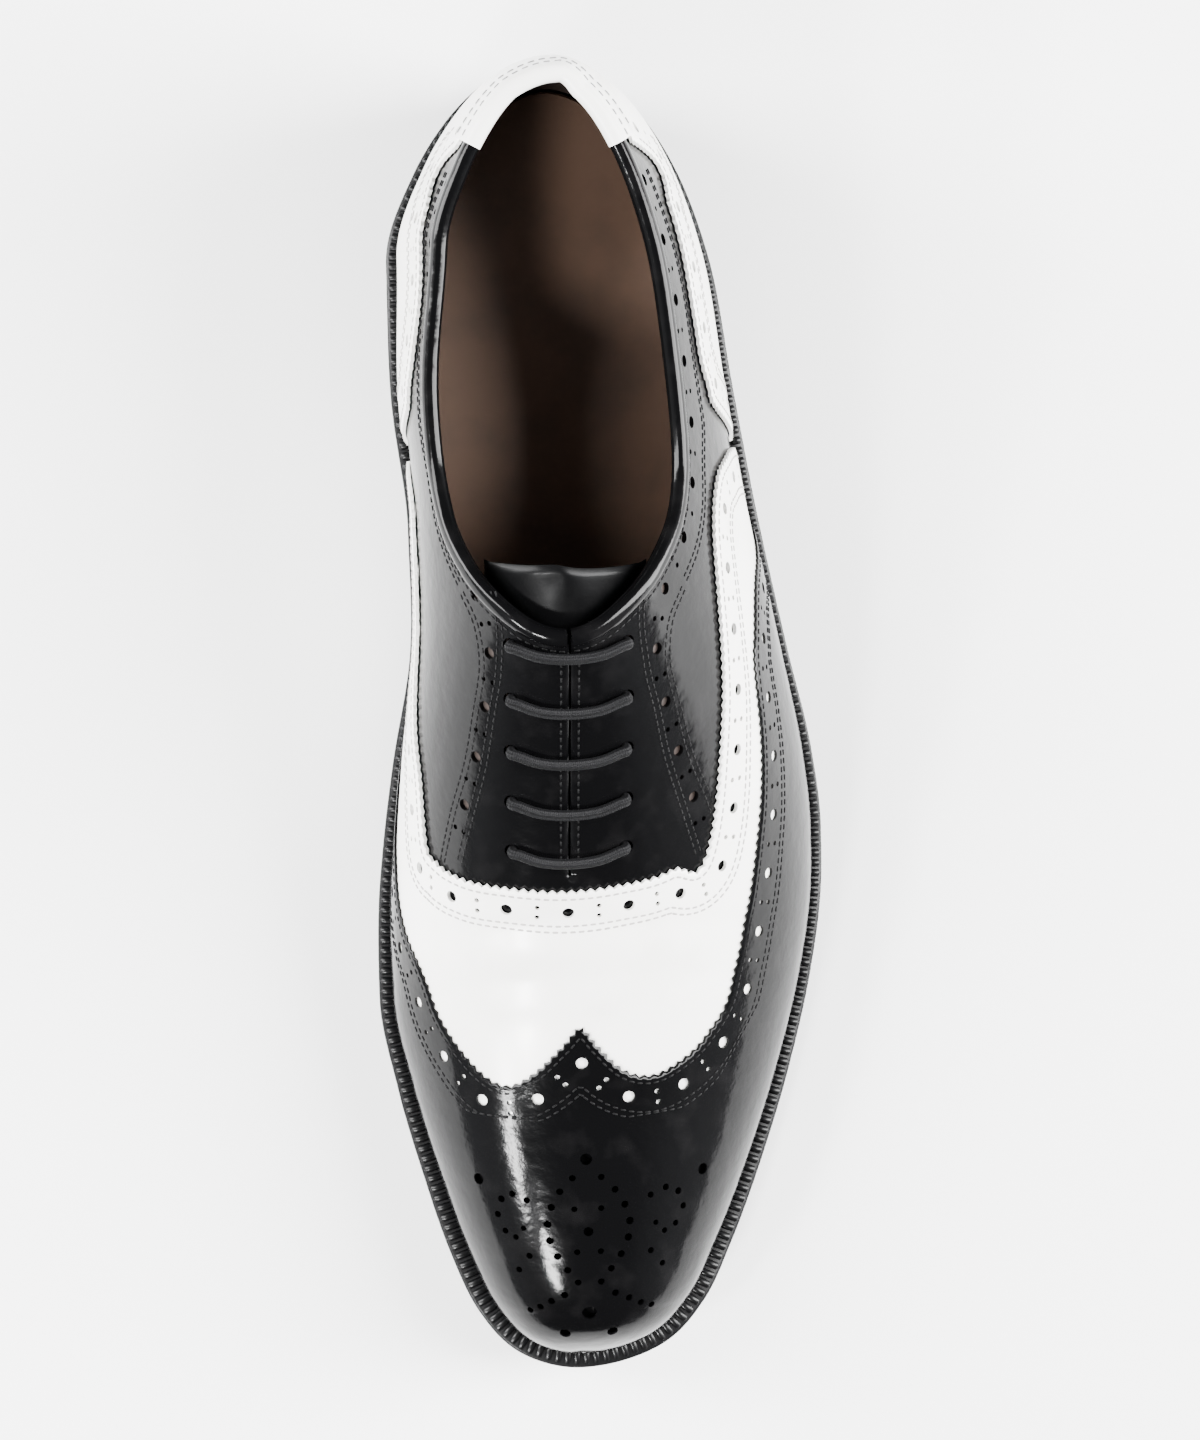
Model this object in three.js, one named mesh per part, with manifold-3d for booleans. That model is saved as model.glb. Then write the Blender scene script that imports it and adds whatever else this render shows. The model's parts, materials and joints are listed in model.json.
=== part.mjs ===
// A spectator shoe for the left foot: a full brogue oxford, empty and standing on its sole.
// Millimetres, +Z up. The toe points along -Y, the heel along +Y, and the outer side of the foot is +X.
import * as THREE from "three";
import { mergeVertices } from "three/addons/utils/BufferGeometryUtils.js";
import Module from "manifold-3d";

const wasm = await Module();
wasm.setup();

// Driving sizes of the shoe
const SHOE_LENGTH = 302; // along the edge of the welt, heel to toe
const BALL_WIDTH = 106; // across the welt at the ball
const INSTEP_RISE = 73; // instep above the feather line, where the facings meet
const BACK_RISE = 60; // collar above the feather line, at the back
const HEEL_HEIGHT = 25; // floor to outsole, at the back
const TOE_SPRING = 10; // floor to outsole, at the toe

// Bottom of the shoe
const OUTSOLE_THICKNESS = 5;
const OUTSOLE_STEP = 0.6; // outsole's edge inside the welt's
const WELT_THICKNESS = 2.7;
const WELT_REVEAL = 5; // ledge of the welt beside the upper, at the ball
const INSOLE_THICKNESS = 2.5;
const HEEL_LENGTH = 75;
const HEEL_STEP = 1; // heel's upper edge inside the welt's
const HEEL_TAPER = 2; // how much further inside the heel is at the floor
const TOP_PIECE_THICKNESS = 6;
const BREAST_HOLLOW = 4; // curve of the heel's front face

// Leather
const UPPER_WALL = 2;
const VAMP_THICKNESS = 0.9;
const CAP_THICKNESS = 1.6;
const COUNTER_THICKNESS = 0.9;
const BACK_TAB_THICKNESS = 1.2;
const BACK_TAB_HEIGHT = 9.5;
const BACK_TAB_LENGTH = 20; // from the back of the heel, along the shoe
const COLLAR_BEAD_THICKNESS = 0.8;
const COLLAR_BEAD_HEIGHT = 3;
const TONGUE_THICKNESS = 1.8;
const TONGUE_WIDTH = 46;
const FACING_SLOT = 1; // open line between the two facings

// Lacing
const LACE_DIAMETER = 2.4;
const LACE_PLAY = 0.9; // round the lace, in an eyelet
const EYELET_SPREAD = 25; // across the facings, hole to hole
const EYELET_PITCH = 11.2; // along the facings
const EYELET_TOP = 134; // first pair of eyelets, from the back of the heel
const EYELET_ROWS = 5;
const LACE_SAG = 2.5; // how far the middle of a bar hangs towards the toe

// Clearance and fineness of the surfaces
const GAP = 0.3; // between pieces that touch
const STATIONS = 32; // steps along the length
const GIRTH_STEPS = 7; // steps from the ridge to the feather line, on each side
const EDGE_STEPS = 36; // steps across a seam, from feather line to feather line
const LACE_SIDES = 8;
const LACE_STEPS = 92;
const FAR = 2 * BALL_WIDTH; // reach of a cutting block

// Outline of the welt, and the line of the sole. at: share of the length, from the back of the heel.
// medial, lateral: half widths, of BALL_WIDTH. reveal: of WELT_REVEAL.
// heelLift, toeLift: height of the outsole above the floor, of HEEL_HEIGHT and TOE_SPRING.
const OUTLINE = [
  { at: 0, medial: 0, lateral: 0, reveal: 0.9, heelLift: 1, toeLift: 0 },
  { at: 0.04, medial: 0.205, lateral: 0.205, reveal: 0.9, heelLift: 0.99, toeLift: 0 },
  { at: 0.083, medial: 0.287, lateral: 0.281, reveal: 0.9, heelLift: 0.97, toeLift: 0 },
  { at: 0.15, medial: 0.352, lateral: 0.347, reveal: 0.9, heelLift: 0.945, toeLift: 0 },
  { at: 0.25, medial: 0.351, lateral: 0.393, reveal: 0.84, heelLift: 0.88, toeLift: 0 },
  { at: 0.35, medial: 0.323, lateral: 0.444, reveal: 0.8, heelLift: 0.7, toeLift: 0 },
  { at: 0.45, medial: 0.328, lateral: 0.508, reveal: 0.84, heelLift: 0.4, toeLift: 0 },
  { at: 0.53, medial: 0.372, lateral: 0.562, reveal: 0.96, heelLift: 0.16, toeLift: 0 },
  { at: 0.59, medial: 0.398, lateral: 0.581, reveal: 1, heelLift: 0.03, toeLift: 0 },
  { at: 0.63, medial: 0.411, lateral: 0.579, reveal: 1, heelLift: 0, toeLift: 0 },
  { at: 0.71, medial: 0.418, lateral: 0.543, reveal: 1.04, heelLift: 0, toeLift: 0 },
  { at: 0.78, medial: 0.385, lateral: 0.488, reveal: 1.12, heelLift: 0, toeLift: 0.12 },
  { at: 0.85, medial: 0.333, lateral: 0.417, reveal: 1.2, heelLift: 0, toeLift: 0.32 },
  { at: 0.91, medial: 0.279, lateral: 0.344, reveal: 1.28, heelLift: 0, toeLift: 0.55 },
  { at: 0.955, medial: 0.22, lateral: 0.273, reveal: 1.32, heelLift: 0, toeLift: 0.78 },
  { at: 0.985, medial: 0.142, lateral: 0.18, reveal: 1.36, heelLift: 0, toeLift: 0.92 },
  { at: 1, medial: 0, lateral: 0, reveal: 1.36, heelLift: 0, toeLift: 1 },
];

// Ridge of the last. rise: above the feather line, of INSTEP_RISE. shift: to the side, of BALL_WIDTH.
// lean: ahead of the section's foot, of SHOE_LENGTH. crown: flatness over the ridge, of the half widths.
const RIDGE = [
  { at: 0, rise: 1.19, shift: -0.057, lean: 0.066, crown: 0.22 },
  { at: 0.083, rise: 1.23, shift: -0.061, lean: 0.04, crown: 0.22 },
  { at: 0.15, rise: 1.24, shift: -0.066, lean: 0.023, crown: 0.22 },
  { at: 0.25, rise: 1.205, shift: -0.066, lean: 0.003, crown: 0.27 },
  { at: 0.35, rise: 1.13, shift: -0.047, lean: 0, crown: 0.38 },
  { at: 0.45, rise: 1.014, shift: -0.021, lean: 0, crown: 0.52 },
  { at: 0.53, rise: 0.89, shift: -0.017, lean: 0, crown: 0.57 },
  { at: 0.6, rise: 0.78, shift: -0.023, lean: 0, crown: 0.57 },
  { at: 0.66, rise: 0.671, shift: -0.019, lean: 0, crown: 0.57 },
  { at: 0.72, rise: 0.58, shift: 0, lean: 0, crown: 0.58 },
  { at: 0.78, rise: 0.511, shift: 0.006, lean: 0, crown: 0.6 },
  { at: 0.85, rise: 0.449, shift: 0.008, lean: 0, crown: 0.62 },
  { at: 0.91, rise: 0.384, shift: 0.009, lean: 0, crown: 0.62 },
  { at: 0.955, rise: 0.311, shift: 0.008, lean: 0, crown: 0.62 },
  { at: 0.985, rise: 0.216, shift: 0.004, lean: 0, crown: 0.62 },
  { at: 1, rise: 0.096, shift: 0, lean: 0, crown: 0.62 },
];

// Walls of the last. medialWall, lateralWall: how high they stay upright, of the rise.
// medialBelly, lateralBelly: how far they swell past the feather line, of BALL_WIDTH.
const WALLS = [
  { at: 0, medialWall: 0.36, lateralWall: 0.36, medialBelly: 0.057, lateralBelly: 0.057 },
  { at: 0.083, medialWall: 0.38, lateralWall: 0.34, medialBelly: 0.057, lateralBelly: 0.057 },
  { at: 0.15, medialWall: 0.4, lateralWall: 0.34, medialBelly: 0.057, lateralBelly: 0.057 },
  { at: 0.25, medialWall: 0.46, lateralWall: 0.35, medialBelly: 0.075, lateralBelly: 0.038 },
  { at: 0.35, medialWall: 0.52, lateralWall: 0.36, medialBelly: 0.094, lateralBelly: 0.019 },
  { at: 0.45, medialWall: 0.55, lateralWall: 0.4, medialBelly: 0.094, lateralBelly: 0.019 },
  { at: 0.53, medialWall: 0.54, lateralWall: 0.43, medialBelly: 0.066, lateralBelly: 0.019 },
  { at: 0.6, medialWall: 0.52, lateralWall: 0.46, medialBelly: 0.038, lateralBelly: 0.019 },
  { at: 0.66, medialWall: 0.5, lateralWall: 0.48, medialBelly: 0.028, lateralBelly: 0.019 },
  { at: 0.72, medialWall: 0.5, lateralWall: 0.5, medialBelly: 0.019, lateralBelly: 0.019 },
  { at: 0.85, medialWall: 0.54, lateralWall: 0.54, medialBelly: 0.019, lateralBelly: 0.019 },
  { at: 1, medialWall: 0.55, lateralWall: 0.55, medialBelly: 0.019, lateralBelly: 0.019 },
];

// Edge of the collar, seen from the side. height: above the feather line at the heel, of BACK_RISE.
const COLLAR = [
  { at: -0.02, height: 1.008 },
  { at: 0, height: 1 },
  { at: 0.06, height: 0.95 },
  { at: 0.13, height: 0.885 },
  { at: 0.2, height: 0.82 },
  { at: 0.27, height: 0.765 },
  { at: 0.31, height: 0.75 },
  { at: 0.35, height: 0.79 },
  { at: 0.39, height: 0.9 },
  { at: 0.42, height: 0.985 },
  { at: 0.447, height: 1.03 },
];

// Back edge of the vamp over the instep. girth: -1 medial feather line, 0 ridge, 1 lateral feather line.
const VAMP_EDGE = [
  { girth: -1, at: 0.3 },
  { girth: -0.85, at: 0.315 },
  { girth: -0.77, at: 0.36 },
  { girth: -0.72, at: 0.45 },
  { girth: -0.66, at: 0.497 },
  { girth: -0.58, at: 0.542 },
  { girth: -0.53, at: 0.587 },
  { girth: -0.47, at: 0.599 },
  { girth: -0.36, at: 0.61 },
  { girth: -0.18, at: 0.618 },
  { girth: 0, at: 0.622 },
  { girth: 0.14, at: 0.619 },
  { girth: 0.29, at: 0.609 },
  { girth: 0.4, at: 0.587 },
  { girth: 0.44, at: 0.525 },
  { girth: 0.49, at: 0.473 },
  { girth: 0.54, at: 0.417 },
  { girth: 0.6, at: 0.36 },
  { girth: 0.66, at: 0.328 },
  { girth: 0.76, at: 0.306 },
  { girth: 1, at: 0.295 },
];

// Winged back edge of the toe cap
const CAP_EDGE = [
  { girth: -1, at: 0.42 },
  { girth: -0.92, at: 0.497 },
  { girth: -0.88, at: 0.55 },
  { girth: -0.77, at: 0.61 },
  { girth: -0.65, at: 0.657 },
  { girth: -0.57, at: 0.68 },
  { girth: -0.48, at: 0.724 },
  { girth: -0.41, at: 0.747 },
  { girth: -0.25, at: 0.773 },
  { girth: -0.15, at: 0.763 },
  { girth: -0.05, at: 0.741 },
  { girth: 0, at: 0.728 },
  { girth: 0.05, at: 0.744 },
  { girth: 0.11, at: 0.761 },
  { girth: 0.2, at: 0.769 },
  { girth: 0.29, at: 0.761 },
  { girth: 0.39, at: 0.739 },
  { girth: 0.46, at: 0.707 },
  { girth: 0.51, at: 0.65 },
  { girth: 0.57, at: 0.554 },
  { girth: 0.62, at: 0.468 },
  { girth: 0.67, at: 0.435 },
  { girth: 0.74, at: 0.403 },
  { girth: 0.84, at: 0.378 },
  { girth: 1, at: 0.34 },
];

// Upper edge of the heel counter. medial, lateral: how far round from the ridge it lies, of the half girth.
const COUNTER_EDGE = [
  { at: 0, medial: 0.15, lateral: 0.15 },
  { at: 0.052, medial: 0.2, lateral: 0.2 },
  { at: 0.066, medial: 0.5, lateral: 0.5 },
  { at: 0.08, medial: 0.61, lateral: 0.63 },
  { at: 0.12, medial: 0.63, lateral: 0.65 },
  { at: 0.21, medial: 0.65, lateral: 0.67 },
  { at: 0.255, medial: 0.71, lateral: 0.7 },
  { at: 0.275, medial: 0.76, lateral: 0.75 },
  { at: 0.283, medial: 0.84, lateral: 0.85 },
  { at: 0.289, medial: 0.96, lateral: 0.96 },
];

// Smooth curve through a table: cubic between rows, level at each high and low, so it never overshoots.
function curveThrough(table, place, value) {
  const xs = table.map(place);
  const ys = table.map(value);
  const last = xs.length - 1;
  const slope = (i) => (ys[i + 1] - ys[i]) / (xs[i + 1] - xs[i]);
  const tangents = xs.map((x, i) => {
    if (i === 0) return slope(0);
    if (i === last) return slope(last - 1);
    const before = slope(i - 1);
    const after = slope(i);
    if (before * after <= 0) return 0;
    return (before * (xs[i + 1] - x) + after * (x - xs[i - 1])) / (xs[i + 1] - xs[i - 1]);
  });
  return (x) => {
    let i = 0;
    while (i < last - 1 && x > xs[i + 1]) i += 1;
    const span = xs[i + 1] - xs[i];
    const t = (x - xs[i]) / span;
    const rest = 1 - t;
    const start = rest * rest * (ys[i] * (1 + 2 * t) + tangents[i] * span * t);
    const end = t * t * (ys[i + 1] * (1 + 2 * rest) - tangents[i + 1] * span * rest);
    return start + end;
  };
}

const atOf = (row) => row.at;
const girthOf = (row) => row.girth;
const column = (table, name) => curveThrough(table, atOf, (row) => row[name]);
const squares = (table, name) => curveThrough(table, atOf, (row) => row[name] ** 2);

const medialSquare = squares(OUTLINE, "medial");
const lateralSquare = squares(OUTLINE, "lateral");
const revealAt = column(OUTLINE, "reveal");
const heelLiftAt = column(OUTLINE, "heelLift");
const toeLiftAt = column(OUTLINE, "toeLift");
const riseSquare = squares(RIDGE, "rise");
const shiftAt = column(RIDGE, "shift");
const leanAt = column(RIDGE, "lean");
const crownAt = column(RIDGE, "crown");
const medialWallAt = column(WALLS, "medialWall");
const lateralWallAt = column(WALLS, "lateralWall");
const medialBellyAt = column(WALLS, "medialBelly");
const lateralBellyAt = column(WALLS, "lateralBelly");
const collarAt = column(COLLAR, "height");
const vampEdge = curveThrough(VAMP_EDGE, girthOf, atOf);
const capEdge = curveThrough(CAP_EDGE, girthOf, atOf);
const medialCounter = column(COUNTER_EDGE, "medial");
const lateralCounter = column(COUNTER_EDGE, "lateral");

const HEEL_BACK = SHOE_LENGTH / 2;
const FEATHER_ABOVE_SOLE = OUTSOLE_THICKNESS + GAP + WELT_THICKNESS;

// A turn runs from 0 at the back of the heel to PI at the toe, and spaces the stations closer at both ends.
const shareOf = (turn) => (1 - Math.cos(turn)) / 2;
const turnOf = (share) => Math.acos(1 - 2 * Math.min(Math.max(share, 0), 1));
const alongOf = (share) => HEEL_BACK - SHOE_LENGTH * share;
const root = (value) => Math.sqrt(Math.max(value, 0));
const blend = (from, to, t) => from + (to - from) * t;

// Underside of the outsole above the floor, at a place along the shoe
function underAt(y) {
  const share = (HEEL_BACK - y) / SHOE_LENGTH;
  return HEEL_HEIGHT * heelLiftAt(share) + TOE_SPRING * toeLiftAt(share);
}

// Edge of the welt in plan. side: 1 lateral, -1 medial.
function weltEdge(turn, side) {
  const share = shareOf(turn);
  const square = side > 0 ? lateralSquare(share) : medialSquare(share);
  return new THREE.Vector2(side * BALL_WIDTH * root(square), alongOf(share));
}

// Direction out of the welt's edge, in plan
function weltOutward(turn, side) {
  const near = 1e-3;
  if (turn < near) return new THREE.Vector2(0, 1);
  if (turn > Math.PI - near) return new THREE.Vector2(0, -1);
  const run = weltEdge(turn + near, side).sub(weltEdge(turn - near, side));
  return new THREE.Vector2(-run.y * side, run.x * side).normalize();
}

// Edge of the welt moved inwards, in plan
const insetEdge = (turn, side, inset) =>
  weltEdge(turn, side).addScaledVector(weltOutward(turn, side), -inset);

// Feather line, where the upper meets the welt, moved inwards in plan
const featherEdge = (turn, side, inset = 0) =>
  insetEdge(turn, side, WELT_REVEAL * revealAt(shareOf(turn)) + inset);

// Point on the last. girth: -1 on the medial feather line, 0 on the ridge, 1 on the lateral one.
// Each side is one cubic curve from the ridge over the crown and down the wall to the feather line.
function lastPoint(turn, girth) {
  const share = shareOf(turn);
  const side = girth < 0 ? -1 : 1;
  const foot = featherEdge(turn, side);
  const otherFoot = featherEdge(turn, -side);
  const outward = weltOutward(turn, side);
  const wall = side > 0 ? lateralWallAt(share) : medialWallAt(share);
  const belly = BALL_WIDTH * (side > 0 ? lateralBellyAt(share) : medialBellyAt(share));
  const rise = INSTEP_RISE * root(riseSquare(share));
  const footHeight = underAt(foot.y) + FEATHER_ABOVE_SOLE;
  // The ridge comes back over the centre line where the section closes at the heel and the toe.
  const fade = Math.min(Math.sqrt(Math.abs(foot.x * otherFoot.x)) / (BALL_WIDTH / 9), 1);
  const ridgeX = BALL_WIDTH * shiftAt(share) * fade;
  const ridgeY = (foot.y + otherFoot.y) / 2 - SHOE_LENGTH * leanAt(share);
  const ridgeHeight = underAt((foot.y + otherFoot.y) / 2) + FEATHER_ABOVE_SOLE + rise;
  const reach = Math.sqrt(Math.abs((foot.x - ridgeX) * (otherFoot.x - ridgeX)));
  const curve = new THREE.CubicBezierCurve3(
    new THREE.Vector3(ridgeX, ridgeY, ridgeHeight),
    new THREE.Vector3(ridgeX + side * crownAt(share) * reach, ridgeY, ridgeHeight),
    new THREE.Vector3(foot.x + outward.x * belly, foot.y + outward.y * belly, footHeight + rise * wall),
    new THREE.Vector3(foot.x, foot.y, footHeight),
  );
  return curve.getPoint(Math.abs(girth));
}

// Direction out of the last, square to its surface
function squareTo(turn, girth) {
  const near = 2e-3;
  const g = Math.min(Math.max(girth, near - 1), 1 - near);
  const along = lastPoint(turn + near, g).sub(lastPoint(turn - near, g));
  const round = lastPoint(turn, g + near).sub(lastPoint(turn, g - near));
  return along.cross(round).normalize();
}

// The same, with both sides sharing one direction where the section closes at the heel and the toe
function lastOutward(turn, girth) {
  const end = 4e-3;
  const t = Math.min(Math.max(turn, end), Math.PI - end);
  const outward = squareTo(t, girth);
  if (t === turn) return outward;
  outward.add(squareTo(t, -girth));
  outward.x = 0;
  return outward.normalize();
}

const shellPoint = (turn, girth, out) => lastPoint(turn, girth).addScaledVector(lastOutward(turn, girth), out);

// Solid from triangles, each three points in counter-clockwise order seen from outside
function solidOf(triangles) {
  const positions = new Float32Array(triangles.flat().flatMap((p) => [p.x, p.y, p.z]));
  const loose = new THREE.BufferGeometry();
  loose.setAttribute("position", new THREE.BufferAttribute(positions, 3));
  return weld(loose);
}

// Closed geometry as a solid, with shared corners merged and flat triangles dropped
function weld(geometry) {
  const bare = new THREE.BufferGeometry();
  bare.setAttribute("position", geometry.getAttribute("position"));
  bare.setIndex(geometry.index);
  const merged = mergeVertices(bare, 1e-4);
  const corners = [];
  for (let i = 0; i < merged.index.count; i += 3) {
    const [a, b, c] = merged.index.array.slice(i, i + 3);
    if (a !== b && b !== c && c !== a) corners.push(a, b, c);
  }
  const vertProperties = merged.getAttribute("position").array;
  const triVerts = new Uint32Array(corners);
  return new wasm.Manifold(new wasm.Mesh({ numProp: 3, vertProperties, triVerts }));
}

const quad = (a, b, c, d) => [[a, b, c], [a, c, d]];

// Solid through closed rings of points, each ring turning clockwise seen from the ring before it.
// A ring folded onto a line closes the end by itself, and lid covers a last ring of four points.
function loft(rings, { joined = false, lid = false } = {}) {
  const triangles = [];
  const spans = joined ? rings.length : rings.length - 1;
  for (let i = 0; i < spans; i += 1) {
    const here = rings[i];
    const next = rings[(i + 1) % rings.length];
    here.forEach((p, j) => {
      const k = (j + 1) % here.length;
      triangles.push(...quad(p, here[k], next[k], next[j]));
    });
  }
  if (lid) triangles.push(...quad(...rings.at(-1)));
  return solidOf(triangles);
}

// Solid between an inner and an outer grid of points, with a wall along each open edge.
// Both grids run along the shoe by rows. foldEnd and foldStart say that a row is folded onto the centre line.
function slab(inner, outer, { foldStart = false, foldEnd = false } = {}) {
  const triangles = [];
  const lastRow = outer.length - 1;
  const lastPlace = outer[0].length - 1;
  for (let i = 0; i < lastRow; i += 1) {
    const next = i + 1;
    for (let j = 0; j < lastPlace; j += 1) {
      triangles.push(...quad(outer[i][j], outer[i][j + 1], outer[next][j + 1], outer[next][j]));
      triangles.push(...quad(inner[i][j], inner[next][j], inner[next][j + 1], inner[i][j + 1]));
    }
    triangles.push(...quad(inner[i][0], outer[i][0], outer[next][0], inner[next][0]));
    const ends = [inner[i], inner[next], outer[next], outer[i]].map((row) => row[lastPlace]);
    triangles.push(...quad(...ends));
  }
  for (let j = 0; j < lastPlace; j += 1) {
    const next = j + 1;
    const start = [inner[0][j], inner[0][next], outer[0][next], outer[0][j]];
    const end = [inner[lastRow][j], outer[lastRow][j], outer[lastRow][next], inner[lastRow][next]];
    if (!foldStart) triangles.push(...quad(...start));
    if (!foldEnd) triangles.push(...quad(...end));
  }
  return solidOf(triangles);
}

const steps = (count) => Array.from({ length: count + 1 }, (_, i) => i / count);
const STATION_TURNS = steps(STATIONS).map((t) => Math.PI * t);
const GIRTHS = steps(2 * GIRTH_STEPS).map((t) => 1 - 2 * t);

// The last swollen by a distance, with its sides carried straight down to a height above the outsole's underside
function swollenLast(out, bottom) {
  const rings = STATION_TURNS.map((turn) => {
    const over = GIRTHS.map((girth) => shellPoint(turn, girth, out));
    const dropped = (p) => new THREE.Vector3(p.x, p.y, underAt(p.y) + bottom);
    return [dropped(over[0]), ...over, dropped(over.at(-1))];
  });
  return loft(rings);
}

const SIDE_TO_WORLD = new THREE.Matrix4().makeBasis(
  new THREE.Vector3(0, 1, 0),
  new THREE.Vector3(0, 0, 1),
  new THREE.Vector3(1, 0, 0),
);

// Block across the shoe, from an outline in the side view: x along the shoe, y up
function acrossBlock(points, from = -FAR, to = FAR) {
  const shape = new THREE.Shape(points);
  const geometry = new THREE.ExtrudeGeometry(shape, { depth: to - from, bevelEnabled: false });
  geometry.translate(0, 0, from);
  geometry.applyMatrix4(SIDE_TO_WORLD);
  return weld(geometry);
}

// Everything above the collar's edge lowered by a distance, back from the throat
function aboveCollar(drop) {
  const first = COLLAR[0].at;
  const throat = COLLAR.at(-1).at;
  const seat = HEEL_HEIGHT + FEATHER_ABOVE_SOLE;
  const edge = steps(30).map((t) => {
    const share = blend(throat, first, t);
    return new THREE.Vector2(alongOf(share), seat + BACK_RISE * collarAt(share) - drop);
  });
  const back = alongOf(first) + HEEL_LENGTH;
  const corners = [
    new THREE.Vector2(back, edge.at(-1).y),
    new THREE.Vector2(back, FAR),
    new THREE.Vector2(edge[0].x, FAR),
  ];
  return acrossBlock([...edge, ...corners]);
}

// Everything below the sole's line raised by a distance
function belowSole(height) {
  const line = steps(STATIONS).map((t) => {
    const y = blend(HEEL_BACK + WELT_REVEAL, -HEEL_BACK - WELT_REVEAL, t);
    const reached = Math.min(Math.max(y, -HEEL_BACK), HEEL_BACK);
    return new THREE.Vector2(y, underAt(reached) + height);
  });
  const corners = [new THREE.Vector2(line.at(-1).x, -FAR), new THREE.Vector2(line[0].x, -FAR)];
  return acrossBlock([...line, ...corners]);
}

// Thick piece of the space round the last, between two seams given as shares of the length by girth.
// early holds the last row back by the gap, square to the seam, so that two panels meet with room.
function panelSpace(startAt, endAt, { rows = 12, early = false, foldStart = false, foldEnd = false } = {}) {
  const girths = steps(EDGE_STEPS).map((t) => 1 - 2 * t);
  const inside = -3 * UPPER_WALL;
  const outside = 3 * UPPER_WALL;
  const layer = (out) =>
    steps(rows).map((t) => girths.map((girth) => shellPoint(turnOf(blend(startAt(girth), endAt(girth), t)), girth, out)));
  const layers = [layer(inside), layer(outside)];
  if (early) {
    layers.forEach((grid) => {
      const seam = grid.at(-1);
      const moved = seam.map((p, j) => {
        const run = seam[Math.min(j + 1, seam.length - 1)].clone().sub(seam[Math.max(j - 1, 0)]);
        const outward = lastOutward(turnOf(endAt(girths[j])), girths[j]);
        return p.clone().addScaledVector(run.cross(outward).normalize(), GAP);
      });
      grid[grid.length - 1] = moved;
    });
  }
  return slab(...layers, { foldStart, foldEnd });
}

// Even layer over the last, outside the upper
const layerOver = (from, thickness) => swollenLast(from + thickness, 0).subtract(swollenLast(from, -FAR / 2));

const upperHollow = swollenLast(-UPPER_WALL, -FAR / 4);
const weltTop = belowSole(FEATHER_ABOVE_SOLE + GAP);

const FACING_CENTRE = BALL_WIDTH * shiftAt(0.53);
const SLOT_END = 0.612;

// Open line between the facings, from the throat to under the vamp
function facingSlot() {
  const start = alongOf(COLLAR.at(-1).at) + HEEL_LENGTH / 2;
  const end = alongOf(SLOT_END);
  const top = FEATHER_ABOVE_SOLE + HEEL_HEIGHT + 2 * INSTEP_RISE;
  const geometry = new THREE.BoxGeometry(FACING_SLOT, start - end, top - INSTEP_RISE / 2);
  geometry.translate(FACING_CENTRE, (start + end) / 2, (top + INSTEP_RISE / 2) / 2);
  return weld(geometry);
}

// Place on the last at a share of the length and a distance to the side of the facings' line
function girthBeside(turn, aside) {
  let low = -0.7;
  let high = 0.7;
  for (let i = 0; i < 30; i += 1) {
    const middle = (low + high) / 2;
    if (lastPoint(turn, middle).x < FACING_CENTRE + aside) low = middle;
    else high = middle;
  }
  return (low + high) / 2;
}

// Turn and girth of an eyelet
function eyelet(row, side) {
  const turn = turnOf((EYELET_TOP + row * EYELET_PITCH) / SHOE_LENGTH);
  return { turn, girth: girthBeside(turn, (side * EYELET_SPREAD) / 2) };
}

// Hole through the upper for one eyelet
function eyeletHole(row, side) {
  const { turn, girth } = eyelet(row, side);
  const depth = 6 * UPPER_WALL;
  const geometry = new THREE.CylinderGeometry(LACE_DIAMETER / 2 + LACE_PLAY, LACE_DIAMETER / 2 + LACE_PLAY, depth, 10);
  const turned = new THREE.Quaternion().setFromUnitVectors(new THREE.Vector3(0, 1, 0), lastOutward(turn, girth));
  geometry.applyQuaternion(turned);
  geometry.translate(...shellPoint(turn, girth, -UPPER_WALL / 2).toArray());
  return weld(geometry);
}

const EYELETS = steps(EYELET_ROWS - 1).flatMap((_, row) => [-1, 1].map((side) => ({ row, side })));

// The hollow upper: one wall over the last, open at the collar, between the facings and underneath
function makeUpper() {
  let upper = swollenLast(0, OUTSOLE_THICKNESS + GAP).subtract(upperHollow);
  upper = upper.subtract(aboveCollar(0)).subtract(facingSlot());
  EYELETS.forEach(({ row, side }) => {
    upper = upper.subtract(eyeletHole(row, side));
  });
  return upper;
}

// Vamp, from its edge round the instep to the wings of the cap
function makeVamp() {
  const space = panelSpace(vampEdge, capEdge, { early: true });
  return layerOver(GAP, VAMP_THICKNESS).intersect(space).subtract(weltTop);
}

// Winged cap over the toe
function makeWingCap() {
  const space = panelSpace(capEdge, () => 1, { rows: 20, foldEnd: true });
  return layerOver(GAP, CAP_THICKNESS).intersect(space).subtract(weltTop);
}

// Piece of the space round the heel, from the back to a place along the shoe, below the counter's edge
function counterSpace() {
  const last = COUNTER_EDGE.at(-1).at;
  const shares = steps(24).map((t) => shareOf(t * turnOf(last)));
  const depths = steps(5);
  const layer = (out) =>
    shares.map((share) => {
      const turn = turnOf(share);
      const lateral = depths.map((t) => shellPoint(turn, blend(1, lateralCounter(share), t), out));
      const medial = depths.map((t) => shellPoint(turn, -blend(medialCounter(share), 1, t), out));
      return { lateral, medial };
    });
  const inner = layer(-3 * UPPER_WALL);
  const outer = layer(3 * UPPER_WALL);
  const halves = ["lateral", "medial"].map((side) =>
    slab(inner.map((row) => row[side]), outer.map((row) => row[side])),
  );
  return halves[0].add(halves[1]);
}

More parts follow.
